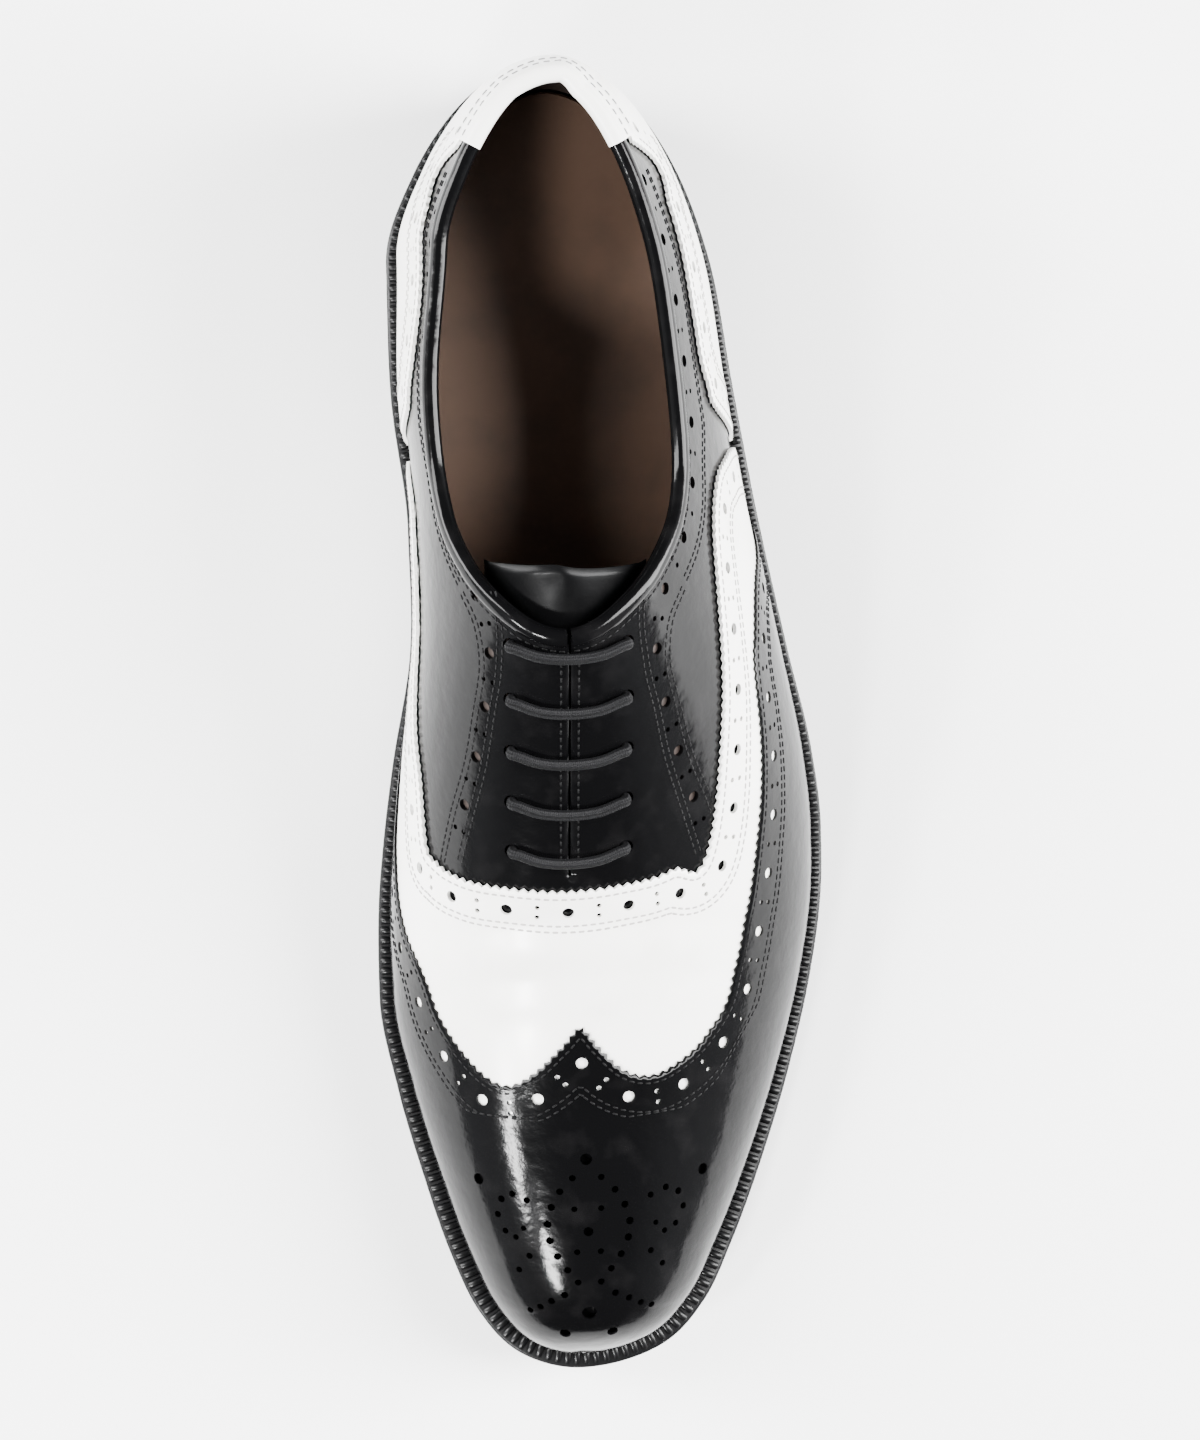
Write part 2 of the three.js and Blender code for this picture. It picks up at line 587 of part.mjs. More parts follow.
// Block over the back of the shoe, as far forward as the back tab reaches
function backBlock(reach, from = -FAR, to = FAR) {
  const front = HEEL_BACK - reach;
  const back = HEEL_BACK + HEEL_LENGTH;
  const corners = [[front, 0], [back, 0], [back, FAR], [front, FAR]];
  return acrossBlock(corners.map(([y, z]) => new THREE.Vector2(y, z)), from, to);
}

// Heel counter, wrapped round the back below the tab
function makeHeelCounter() {
  const tabRoom = aboveCollar(BACK_TAB_HEIGHT + GAP).intersect(backBlock(BACK_TAB_LENGTH + GAP));
  const beadRoom = aboveCollar(COLLAR_BEAD_HEIGHT + GAP);
  const layer = layerOver(GAP, COUNTER_THICKNESS).intersect(counterSpace());
  return layer.subtract(tabRoom).subtract(beadRoom).subtract(weltTop);
}

// Stitched tab along the collar's edge at the back
function makeBackTab() {
  const layer = layerOver(GAP, BACK_TAB_THICKNESS).intersect(backBlock(BACK_TAB_LENGTH));
  return layer.subtract(aboveCollar(0)).intersect(aboveCollar(BACK_TAB_HEIGHT));
}

// Rolled bead along the collar's edge on one side, from the back tab to the facing
function makeCollarBead(side) {
  const half = backBlock(SHOE_LENGTH * 0.41, side > 0 ? 0 : -FAR, side > 0 ? FAR : 0);
  const layer = layerOver(GAP, COLLAR_BEAD_THICKNESS).intersect(half);
  const bead = layer.subtract(aboveCollar(0)).intersect(aboveCollar(COLLAR_BEAD_HEIGHT));
  return bead.subtract(backBlock(BACK_TAB_LENGTH + GAP));
}

// Tongue: a curved flap under the facings, raised to the upper's wall where the vamp holds it
const TONGUE_TOP = 0.392;
const TONGUE_ROOT = 0.645;
const TONGUE_SEAT = -UPPER_WALL - GAP;
const TONGUE_DEPTH = TONGUE_SEAT - 2 * LACE_PLAY - LACE_DIAMETER + GAP;

function makeTongue() {
  const layer = (under) =>
    steps(14).map((t) => {
      const share = blend(TONGUE_TOP, TONGUE_ROOT, t);
      const turn = turnOf(share);
      const rooted = Math.min(Math.max((share - SLOT_END) / (TONGUE_ROOT - SLOT_END), 0), 1);
      const out = blend(TONGUE_DEPTH, TONGUE_SEAT, rooted * rooted * (3 - 2 * rooted)) - under;
      return steps(10).map((u) => {
        const aside = (TONGUE_WIDTH / 2) * (1 - 2 * u);
        return shellPoint(turn, girthBeside(turn, aside), out);
      });
    });
  return slab(layer(TONGUE_THICKNESS), layer(0));
}

// Ring of four corners across the bottom of the shoe at a turn: lateral low, lateral high, medial high and low
function bottomRing(turn, lowInset, highInset, lowAt, highAt) {
  const corner = (side, inset, heightAt) => {
    const edge = insetEdge(turn, side, inset(turn));
    return new THREE.Vector3(edge.x, edge.y, heightAt(edge.y));
  };
  return [
    corner(1, lowInset, lowAt),
    corner(1, highInset, highAt),
    corner(-1, highInset, highAt),
    corner(-1, lowInset, lowAt),
  ];
}

function makeOutsole() {
  const inset = () => OUTSOLE_STEP;
  const top = (y) => underAt(y) + OUTSOLE_THICKNESS;
  return loft(STATION_TURNS.map((turn) => bottomRing(turn, inset, inset, underAt, top)));
}

function makeInsole() {
  const inset = (turn) => WELT_REVEAL * revealAt(shareOf(turn)) + UPPER_WALL + GAP;
  const seat = OUTSOLE_THICKNESS + GAP;
  const low = (y) => underAt(y) + seat;
  const high = (y) => underAt(y) + seat + INSOLE_THICKNESS;
  return loft(STATION_TURNS.map((turn) => bottomRing(turn, inset, inset, low, high)));
}

// Welt: a flat strip all the way round, between its edge and the upper
function makeWelt() {
  const ring = (turn, side) => {
    const edges = [weltEdge(turn, side), featherEdge(turn, side, -GAP)];
    const [outer, inner] = edges;
    const low = (p) => new THREE.Vector3(p.x, p.y, underAt(p.y) + OUTSOLE_THICKNESS + GAP);
    const high = (p) => low(p).add(new THREE.Vector3(0, 0, WELT_THICKNESS));
    return [low(outer), high(outer), high(inner), low(inner)];
  };
  const lateral = STATION_TURNS.map((turn) => ring(turn, 1));
  const medial = STATION_TURNS.slice(1, -1).reverse().map((turn) => ring(turn, -1));
  return loft([...lateral, ...medial], { joined: true });
}

// Heel between two heights, tapered to the floor, with a hollow front face
function heelBlock(low, high) {
  const reach = turnOf((HEEL_LENGTH + 2 * BREAST_HOLLOW) / SHOE_LENGTH);
  const insetAt = (height) => HEEL_STEP + HEEL_TAPER * (1 - height / HEEL_HEIGHT);
  const rings = steps(14).map((t) =>
    bottomRing(t * reach, () => insetAt(low), () => insetAt(high), () => low, () => high),
  );
  const front = HEEL_BACK - HEEL_LENGTH;
  const shape = new THREE.Shape();
  shape.moveTo(FAR, front - FAR);
  shape.lineTo(FAR, front);
  shape.lineTo(BALL_WIDTH / 2, front);
  shape.quadraticCurveTo(0, front + 2 * BREAST_HOLLOW, -BALL_WIDTH / 2, front);
  shape.lineTo(-FAR, front);
  shape.lineTo(-FAR, front - FAR);
  const geometry = new THREE.ExtrudeGeometry(shape, { depth: FAR, bevelEnabled: false, curveSegments: 10 });
  geometry.translate(0, 0, -FAR / 2);
  return loft(rings, { lid: true }).subtract(weld(geometry));
}

// Everything above the underside of the outsole, less the gap
function aboveHeelSeat() {
  const line = steps(STATIONS).map((t) => {
    const y = blend(-HEEL_BACK, HEEL_BACK, t);
    return new THREE.Vector2(y, underAt(y) - GAP);
  });
  const corners = [
    new THREE.Vector2(HEEL_BACK + HEEL_LENGTH, line.at(-1).y),
    new THREE.Vector2(HEEL_BACK + HEEL_LENGTH, FAR),
    new THREE.Vector2(-HEEL_BACK, FAR),
  ];
  return acrossBlock([...line, ...corners]);
}

const makeTopPiece = () => heelBlock(0, TOP_PIECE_THICKNESS);
const makeHeelStack = () => heelBlock(TOP_PIECE_THICKNESS + GAP, HEEL_HEIGHT).subtract(aboveHeelSeat());

// Lace: straight bars over the facings, each turned down into its eyelets, and runs under the facings
// from row to row on alternate sides.
const LACE_TURN = LACE_DIAMETER / 2 + 2 * GAP; // radius round an eyelet's edge
const BAR_HEIGHT = LACE_TURN;
const RUN_DEPTH = -UPPER_WALL - LACE_TURN;

// Point beside an eyelet. inward: towards the other facing, ahead: towards the toe, both in millimetres.
function lacePoint(row, side, inward, ahead, out) {
  const turn = turnOf((EYELET_TOP + row * EYELET_PITCH + ahead) / SHOE_LENGTH);
  return shellPoint(turn, girthBeside(turn, side * (EYELET_SPREAD / 2 - inward)), out);
}

// Bar of one row, from its first side over to the other, sagging towards the toe
function laceBar(row, side) {
  const entry = [
    lacePoint(row, side, 0, 0, -UPPER_WALL / 2),
    lacePoint(row, side, 0.3 * LACE_TURN, 0, 0.6 * BAR_HEIGHT),
    lacePoint(row, side, LACE_TURN, 0.1 * LACE_SAG, BAR_HEIGHT),
  ];
  const across = [0.25, 0.5, 0.75].map((t) =>
    lacePoint(row, side, EYELET_SPREAD * t, 4 * LACE_SAG * t * (1 - t), BAR_HEIGHT),
  );
  const exit = [
    lacePoint(row, -side, LACE_TURN, 0.1 * LACE_SAG, BAR_HEIGHT),
    lacePoint(row, -side, 0.3 * LACE_TURN, 0, 0.6 * BAR_HEIGHT),
    lacePoint(row, -side, 0, 0, -UPPER_WALL / 2),
  ];
  return [...entry, ...across, ...exit];
}

// Run under the facing from one row to the next, on one side
function laceRun(row, side) {
  return [
    lacePoint(row, side, 0, 0.3 * LACE_TURN, 0.85 * RUN_DEPTH),
    lacePoint(row, side, 0, LACE_TURN, RUN_DEPTH),
    lacePoint(row, side, 0, EYELET_PITCH / 2, RUN_DEPTH),
    lacePoint(row, side, 0, EYELET_PITCH - LACE_TURN, RUN_DEPTH),
    lacePoint(row, side, 0, EYELET_PITCH - 0.3 * LACE_TURN, 0.85 * RUN_DEPTH),
  ];
}

function makeLace() {
  const points = [lacePoint(0, -1, 0, 0, RUN_DEPTH)];
  for (let row = 0; row < EYELET_ROWS; row += 1) {
    const side = row % 2 ? 1 : -1;
    points.push(...laceBar(row, side));
    if (row < EYELET_ROWS - 1) points.push(...laceRun(row, -side));
    else points.push(lacePoint(row, -side, 0, 0, RUN_DEPTH));
  }
  const circle = new THREE.Shape(
    steps(LACE_SIDES).slice(1).map((t) => {
      const angle = 2 * Math.PI * t;
      return new THREE.Vector2(Math.cos(angle), Math.sin(angle)).multiplyScalar(LACE_DIAMETER / 2);
    }),
  );
  const path = new THREE.CatmullRomCurve3(points, false, "centripetal");
  return weld(new THREE.ExtrudeGeometry(circle, { steps: LACE_STEPS, extrudePath: path, bevelEnabled: false }));
}

const BLACK_CALF = { color: 0x121214, roughness: 0.22, metalness: 0 };
const WHITE_CALF = { color: 0xe9e8e4, roughness: 0.38, metalness: 0 };
const BLACK_EDGE = { color: 0x161618, roughness: 0.5, metalness: 0 };
const BLACK_RUBBER = { color: 0x1b1b1c, roughness: 0.8, metalness: 0 };
const DARK_LINING = { color: 0x3a2b22, roughness: 0.7, metalness: 0 };
const WAXED_CORD = { color: 0x2b2b2e, roughness: 0.75, metalness: 0 };

const shoe = new THREE.Group();
shoe.name = "spectator_shoe";

// Adds a solid to the shoe as a named mesh
function add(name, solid, finish) {
  const mesh = solid.getMesh();
  const geometry = new THREE.BufferGeometry();
  geometry.setAttribute("position", new THREE.BufferAttribute(mesh.vertProperties, 3));
  geometry.setIndex(new THREE.BufferAttribute(mesh.triVerts, 1));
  geometry.computeVertexNormals();
  const piece = new THREE.Mesh(geometry, new THREE.MeshStandardMaterial(finish));
  piece.name = name;
  shoe.add(piece);
}

add("outsole", makeOutsole(), BLACK_EDGE);
add("welt", makeWelt(), BLACK_EDGE);
add("heel_stack", makeHeelStack(), BLACK_EDGE);
add("heel_top_piece", makeTopPiece(), BLACK_RUBBER);
add("insole", makeInsole(), DARK_LINING);
add("upper", makeUpper(), BLACK_CALF);
add("vamp", makeVamp(), WHITE_CALF);
add("wing_cap", makeWingCap(), BLACK_CALF);
add("heel_counter", makeHeelCounter(), WHITE_CALF);
add("back_tab", makeBackTab(), WHITE_CALF);
add("collar_bead_medial", makeCollarBead(-1), BLACK_CALF);
add("collar_bead_lateral", makeCollarBead(1), BLACK_CALF);
add("tongue", makeTongue(), BLACK_CALF);
add("lace", makeLace(), WAXED_CORD);

// The origin stands on the floor under the middle of the welt.
const widest = (side) => Math.max(...STATION_TURNS.map((turn) => Math.abs(weltEdge(turn, side).x)));
shoe.position.x = (widest(-1) - widest(1)) / 2;

export default shoe;
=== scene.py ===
"""A black and white spectator shoe for the left foot, a wing-tip oxford, standing empty on its sole.

The toe points along -Y, the heel along +Y, and the outer side of the foot is +X. Shapes are worked out in
millimetres on the last, the form that the shoe was made on, and put into the meshes in metres.
"""
import json

import bpy
import numpy as np
from bpy.props import FloatProperty, FloatVectorProperty, IntProperty, PointerProperty
from mathutils import Matrix, Vector
from mathutils.geometry import delaunay_2d_cdt

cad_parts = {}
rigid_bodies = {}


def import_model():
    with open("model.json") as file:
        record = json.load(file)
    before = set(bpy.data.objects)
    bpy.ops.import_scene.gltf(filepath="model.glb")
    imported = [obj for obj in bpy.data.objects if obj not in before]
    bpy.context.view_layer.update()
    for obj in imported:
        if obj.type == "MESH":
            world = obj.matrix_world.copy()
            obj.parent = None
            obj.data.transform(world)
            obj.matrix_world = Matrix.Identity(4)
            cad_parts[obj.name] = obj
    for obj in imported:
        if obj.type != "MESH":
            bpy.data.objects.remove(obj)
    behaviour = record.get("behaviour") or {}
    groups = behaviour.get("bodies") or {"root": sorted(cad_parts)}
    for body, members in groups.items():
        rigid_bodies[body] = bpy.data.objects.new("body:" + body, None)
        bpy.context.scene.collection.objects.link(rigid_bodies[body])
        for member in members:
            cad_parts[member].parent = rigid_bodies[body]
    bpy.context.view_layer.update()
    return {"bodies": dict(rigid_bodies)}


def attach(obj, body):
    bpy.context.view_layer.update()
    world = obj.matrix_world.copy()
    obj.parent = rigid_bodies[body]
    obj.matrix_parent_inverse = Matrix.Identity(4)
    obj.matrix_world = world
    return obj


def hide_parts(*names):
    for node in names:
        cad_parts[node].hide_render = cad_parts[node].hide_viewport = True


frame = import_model()

bl_info = {
    "name": "Spectator Shoe",
    "version": (1, 0, 0),
    "blender": (4, 5, 0),
    "location": "3D View > Sidebar > Shoe",
    "description": "Builds a two-tone wing-tip oxford, piece by piece, on its last",
    "category": "Object",
}

MM = 0.001
BODY = next(iter(frame["bodies"]))


def table(names, *rows):
    """Columns of a short table, by name."""
    return dict(zip(names.split(), np.array(rows, float).T))


# Outline of the welt and line of the sole. at: share of the length from the back of the heel. medial, lateral:
# half widths, of the ball width. reveal: of the welt's reveal. heel_lift: of the heel height. toe_lift: of the
# toe spring.
OUTLINE = table(
    "at medial lateral reveal heel_lift toe_lift",
    (0, 0, 0, 0.9, 1, 0),
    (0.04, 0.205, 0.205, 0.9, 0.99, 0),
    (0.083, 0.287, 0.281, 0.9, 0.97, 0),
    (0.15, 0.352, 0.347, 0.9, 0.945, 0),
    (0.25, 0.351, 0.393, 0.84, 0.88, 0),
    (0.35, 0.323, 0.444, 0.8, 0.7, 0),
    (0.45, 0.328, 0.508, 0.84, 0.4, 0),
    (0.53, 0.372, 0.562, 0.96, 0.16, 0),
    (0.59, 0.398, 0.581, 1, 0.03, 0),
    (0.63, 0.411, 0.579, 1, 0, 0),
    (0.71, 0.418, 0.543, 1.04, 0, 0),
    (0.78, 0.385, 0.488, 1.12, 0, 0.12),
    (0.85, 0.333, 0.417, 1.2, 0, 0.32),
    (0.91, 0.279, 0.344, 1.28, 0, 0.55),
    (0.955, 0.22, 0.273, 1.32, 0, 0.78),
    (0.985, 0.142, 0.18, 1.36, 0, 0.92),
    (1, 0, 0, 1.36, 0, 1),
)
# Ridge of the last. rise: of the instep rise. shift: to the side, of the ball width. lean: ahead of the
# section's foot, of the length. crown: flatness over the ridge, of the half widths.
RIDGE = table(
    "at rise shift lean crown",
    (0, 1.19, -0.057, 0.066, 0.22),
    (0.083, 1.23, -0.061, 0.04, 0.22),
    (0.15, 1.24, -0.066, 0.023, 0.22),
    (0.25, 1.205, -0.066, 0.003, 0.27),
    (0.35, 1.13, -0.047, 0, 0.38),
    (0.45, 1.014, -0.021, 0, 0.52),
    (0.53, 0.89, -0.017, 0, 0.57),
    (0.6, 0.78, -0.023, 0, 0.57),
    (0.66, 0.671, -0.019, 0, 0.57),
    (0.72, 0.58, 0, 0, 0.58),
    (0.78, 0.511, 0.006, 0, 0.6),
    (0.85, 0.449, 0.008, 0, 0.62),
    (0.91, 0.384, 0.009, 0, 0.62),
    (0.955, 0.311, 0.008, 0, 0.62),
    (0.985, 0.216, 0.004, 0, 0.62),
    (1, 0.096, 0, 0, 0.62),
)
# Walls of the last: how high each stays upright, of the rise, and how far it swells, of the ball width.
WALLS = table(
    "at medial_wall lateral_wall medial_belly lateral_belly",
    (0, 0.36, 0.36, 0.057, 0.057),
    (0.083, 0.38, 0.34, 0.057, 0.057),
    (0.15, 0.4, 0.34, 0.057, 0.057),
    (0.25, 0.46, 0.35, 0.075, 0.038),
    (0.35, 0.52, 0.36, 0.094, 0.019),
    (0.45, 0.55, 0.4, 0.094, 0.019),
    (0.53, 0.54, 0.43, 0.066, 0.019),
    (0.6, 0.52, 0.46, 0.038, 0.019),
    (0.66, 0.5, 0.48, 0.028, 0.019),
    (0.72, 0.5, 0.5, 0.019, 0.019),
    (0.85, 0.54, 0.54, 0.019, 0.019),
    (1, 0.55, 0.55, 0.019, 0.019),
)
# Edge of the collar in the side view. height: above the feather line at the heel, of the back rise.
COLLAR = table(
    "at height",
    (-0.02, 1.008),
    (0, 1),
    (0.06, 0.95),
    (0.13, 0.885),
    (0.2, 0.82),
    (0.27, 0.765),
    (0.31, 0.75),
    (0.35, 0.79),
    (0.39, 0.9),
    (0.42, 0.985),
    (0.447, 1.03),
)
# Back edge of the vamp. girth: -1 medial feather line, 0 ridge, 1 lateral feather line.
VAMP_EDGE = table(
    "girth at",
    (-1, 0.3),
    (-0.85, 0.315),
    (-0.77, 0.36),
    (-0.72, 0.45),
    (-0.66, 0.497),
    (-0.58, 0.542),
    (-0.53, 0.587),
    (-0.47, 0.599),
    (-0.36, 0.61),
    (-0.18, 0.618),
    (0, 0.622),
    (0.14, 0.619),
    (0.29, 0.609),
    (0.4, 0.587),
    (0.44, 0.525),
    (0.49, 0.473),
    (0.54, 0.417),
    (0.6, 0.36),
    (0.66, 0.328),
    (0.76, 0.306),
    (1, 0.295),
)
# Winged back edge of the toe cap
CAP_EDGE = table(
    "girth at",
    (-1, 0.42),
    (-0.92, 0.497),
    (-0.88, 0.55),
    (-0.77, 0.61),
    (-0.65, 0.657),
    (-0.57, 0.68),
    (-0.48, 0.724),
    (-0.41, 0.747),
    (-0.25, 0.773),
    (-0.15, 0.763),
    (-0.05, 0.741),
    (0, 0.728),
    (0.05, 0.744),
    (0.11, 0.761),
    (0.2, 0.769),
    (0.29, 0.761),
    (0.39, 0.739),
    (0.46, 0.707),
    (0.51, 0.65),
    (0.57, 0.554),
    (0.62, 0.468),
    (0.67, 0.435),
    (0.74, 0.403),
    (0.84, 0.378),
    (1, 0.34),
)
# Upper edge of the heel counter, and how far round from the ridge it lies on each side
COUNTER_EDGE = table(
    "at medial lateral",
    (0.052, 0.2, 0.2),
    (0.066, 0.5, 0.5),
    (0.08, 0.61, 0.63),
    (0.12, 0.63, 0.65),
    (0.21, 0.65, 0.67),
    (0.255, 0.71, 0.7),
    (0.275, 0.76, 0.75),
    (0.283, 0.84, 0.85),
    (0.289, 0.96, 0.96),
)
# Inner and outer double seams beside the lacing, with the punched band between them
FACING_SEAMS = table(
    "at inner outer",
    (0.405, 0.285, 0.43),
    (0.427, 0.258, 0.36),
    (0.446, 0.25, 0.33),
    (0.461, 0.25, 0.32),
    (0.487, 0.262, 0.33),
    (0.525, 0.28, 0.352),
    (0.561, 0.32, 0.405),
    (0.59, 0.355, 0.44),
)
# Outer seam along the collar, from under the counter to the facing
COLLAR_SEAM = table("at girth", (0.09, 0.6), (0.2, 0.65), (0.281, 0.66), (0.312, 0.63), (0.351, 0.58),
                    (0.376, 0.52), (0.4, 0.44))
# Soft troughs and ridges where the vamp bends. at: share of the length. depth: millimetres, ridges below 0.
# spread: share of the length. reach: girth where it fades.
CREASES = table("at depth spread reach", (0.648, 0.35, 0.009, 0.55), (0.668, -0.22, 0.01, 0.5),
                (0.69, 0.25, 0.009, 0.6), (0.712, -0.12, 0.01, 0.5))
# Lacing, in millimetres. top: from the back of the heel to the first pair of eyelets. pitch: along the facings.
# spread: across them. sag: of a bar, towards the toe. turn: height of a bar and its bend into an eyelet.
# under: height over the last of the hidden runs.
LACING = {"top": 134.0, "pitch": 11.2, "spread": 25.0, "sag": 2.5, "turn": 1.5, "under": -3.8}
# Medallion on the toe. Holes off the ridge are made on both sides. size: diameter in millimetres.
MEDALLION = table(
    "at girth size",
    (0.832, 0, 2.7), (0.888, 0, 2.2), (0.955, 0, 3.4),
    (0.846, 0.05, 1.5), (0.856, 0.1, 1.6), (0.868, 0.14, 1.7), (0.881, 0.165, 1.8), (0.894, 0.165, 1.8),
    (0.907, 0.14, 1.7), (0.918, 0.1, 1.6), (0.928, 0.055, 1.5), (0.87, 0.05, 1.4), (0.904, 0.05, 1.4),
    (0.862, 0.24, 1.5), (0.857, 0.3, 1.6), (0.861, 0.36, 1.7), (0.873, 0.4, 1.6), (0.886, 0.38, 1.5),
    (0.891, 0.33, 1.4), (0.884, 0.28, 1.3), (0.846, 0.46, 2.7), (0.938, 0.13, 1.6), (0.943, 0.21, 1.6),
    (0.948, 0.29, 1.6), (0.951, 0.37, 1.5), (0.973, 0.17, 2.4), (0.906, 0.28, 1.5), (0.917, 0.36, 1.5),
)
# Sections of the back tab and of the binding: millimetres down into the panel, and out of the last
TAB = ((9.5, 0.3), (9.5, 1.3), (9.2, 1.5), (6, 1.55), (3, 1.55), (1.2, 1.5), (0.2, 1.35), (-0.5, 0.8),
       (-0.85, 0), (-0.95, -1), (-0.7, -2), (0, -2.6), (1.2, -2.8), (4, -2.8), (4, -2.15), (0.4, -2.1),
       (-0.1, -1.8), (-0.15, 0.1), (0.2, 0.25), (4, 0.28))
BINDING = ((2.9, 0.05), (2.9, 0.45), (2.5, 0.8), (1.8, 0.95), (1, 0.95), (0.2, 0.8), (-0.35, 0.4),
           (-0.65, -0.3), (-0.7, -1.2), (-0.4, -2), (0.3, -2.5), (1.2, -2.65), (2.6, -2.6), (2.6, -2.15),
           (0.3, -2.1), (-0.1, -1.8), (-0.12, 0), (0.2, 0.05))
# Tongue. half: half its width. top, root: its ends, as shares of the length. depth, seat: height over the last
# of its face, under the lace and under the vamp. thick: its thickness.
TONGUE = {"half": 23.0, "top": 0.4, "root": 0.645, "depth": -5.6, "seat": -2.3, "thick": 1.8}

SLOT = 0.5                       # open line between the facings
SLOT_END = 0.612                 # its end under the vamp, as a share of the length
QUARTER, LINING = -1.1, -2.0     # inner faces of the quarters and of the lining, from the last
VAMP, CAP = 1.2, 1.9             # outer faces of the vamp and of the cap, over the last
SCALE = np.array([151.0, 85.0])  # millimetres for a turn of one and for a girth of one, roughly
TAB_END = 0.066                  # how far the back tab reaches, as a share of the length
ROW = 5.5                        # from a gimped edge to the row of punched holes
SEAM_ROWS = (2.0, 9.0, 10.5)     # rows of stitches, from a gimped edge
RING = 1.3                       # from a gimped edge to the ring of points that keeps the panel smooth there
EYELET = 1.75                    # radius of a lace hole
COUNTER_END = 0.289              # front corner of the counter, as a share of the length
COUNTER_LOW = 0.96               # girth of that corner
PUNCHED_TO = 0.9                 # girth that the rows of holes reach
STITCHED_TO = 0.985              # girth that the stitches reach
TAB_FACE = 1.55                  # outer face of the back tab, over the last
BREAST, HOLLOW = 75.0, 4.0       # front face of the heel: from the back, and the depth of its curve
TOP_PIECE, JOINT = 6.0, 0.3      # thickness of the rubber, and the joint between it and the lifts


class ShoeSizes(bpy.types.PropertyGroup):
    """Sizes of the shoe that a user would change."""

    length: FloatProperty(name="Length", description="Welt from heel to toe", default=0.302, unit="LENGTH")
    ball_width: FloatProperty(name="Ball width", description="Welt across the ball",
                              default=0.106, unit="LENGTH")
    instep_rise: FloatProperty(name="Instep rise", description="Instep above the feather line",
                               default=0.073, unit="LENGTH")
    back_rise: FloatProperty(name="Back rise", description="Collar above the feather line at the back",
                             default=0.06, unit="LENGTH")
    heel_height: FloatProperty(name="Heel height", description="Floor to outsole at the back",
                               default=0.025, unit="LENGTH")
    toe_spring: FloatProperty(name="Toe spring", description="Floor to outsole at the toe",
                              default=0.01, unit="LENGTH")
    lace: FloatProperty(name="Lace", description="Diameter of the lace", default=0.0024, unit="LENGTH")
    big_hole: FloatProperty(name="Big punching", description="Diameter of the big holes",
                            default=0.0027, unit="LENGTH")
    small_hole: FloatProperty(name="Small punching", description="Diameter of the small holes",
                              default=0.0012, unit="LENGTH")
    hole_pitch: FloatProperty(name="Punching pitch", description="From one big hole to the next",
                              default=0.0135, unit="LENGTH")
    stitch_pitch: FloatProperty(name="Stitch pitch", description="Length of one stitch and its gap",
                                default=0.0019, unit="LENGTH")
    rib_pitch: FloatProperty(name="Rib pitch", description="From one rib of the welt to the next",
                             default=0.0024, unit="LENGTH")
    eyelet_rows: IntProperty(name="Eyelet rows", description="Pairs of eyelets", default=5)


class ShoeColours(bpy.types.PropertyGroup):
    """Colours of the shoe, as sRGB values."""

    black: FloatVectorProperty(name="Black calf", description="Wing cap, quarters and facings",
                               subtype="COLOR_GAMMA", default=(0.02, 0.02, 0.022))
    white: FloatVectorProperty(name="White calf", description="Vamp, counter and back tab",
                               subtype="COLOR_GAMMA", default=(0.955, 0.95, 0.935))
    edge: FloatVectorProperty(name="Edge dressing", description="Welt, sole edge and heel",
                              subtype="COLOR_GAMMA", default=(0.03, 0.03, 0.033))
    lace: FloatVectorProperty(name="Lace", description="Waxed cotton", subtype="COLOR_GAMMA",
                              default=(0.06, 0.06, 0.065))
    lining: FloatVectorProperty(name="Lining", description="Lining leather", subtype="COLOR_GAMMA",
                                default=(0.13, 0.09, 0.07))
    floor: FloatVectorProperty(name="Floor", description="Studio floor", subtype="COLOR_GAMMA",
                               default=(0.96, 0.96, 0.96))


def curve(x, xs, ys):
    """Smooth curve through points: Hermite cubics, with the mean slope of both sides, or 0 at a turn."""
    slope = np.diff(ys) / np.diff(xs)
    before, after = slope[:-1], slope[1:]
    inner = (before * np.diff(xs)[1:] + after * np.diff(xs)[:-1]) / (xs[2:] - xs[:-2])
    inner = np.where(before * after <= 0, 0, inner)
    tangent = np.concatenate([slope[:1], inner, slope[-1:]])
    i = np.clip(np.searchsorted(xs, x) - 1, 0, len(xs) - 2)
    span = xs[i + 1] - xs[i]
    t = (x - xs[i]) / span
    rest = 1 - t
    start = rest**2 * (ys[i] * (1 + 2 * t) + tangent[i] * span * t)
    return start + t**2 * (ys[i + 1] * (1 + 2 * rest) - tangent[i + 1] * span * rest)


def read(columns, name, at, key="at", power=1):
    """A table's column, smoothed, at a share of the length."""
    return curve(np.asarray(at, float), columns[key], columns[name] ** power)


def unit(v):
    """Vectors scaled to length one."""
    return v / np.maximum(np.linalg.norm(v, axis=-1, keepdims=True), 1e-12)


def dot(a, b):
    """Scalar product along the last axis."""
    return (a * b).sum(-1)


def share_of(turn):
    """Share of the length at a turn: (1 - cos turn) / 2."""
    return (1 - np.cos(turn)) / 2


def turn_of(share):
    """Turn at a share of the length: arccos(1 - 2 share)."""
    return np.arccos(np.clip(1 - 2 * np.asarray(share, float), -1, 1))


def length_along(points):
    """Length of a line of points up to each of them."""
    return np.concatenate([[0], np.cumsum(np.linalg.norm(np.diff(points, axis=0), axis=1))])


def between(marks, path, values):
    """Rows of values read off at marks along a path."""
    return np.stack([np.interp(marks, path, column) for column in values.T], -1)


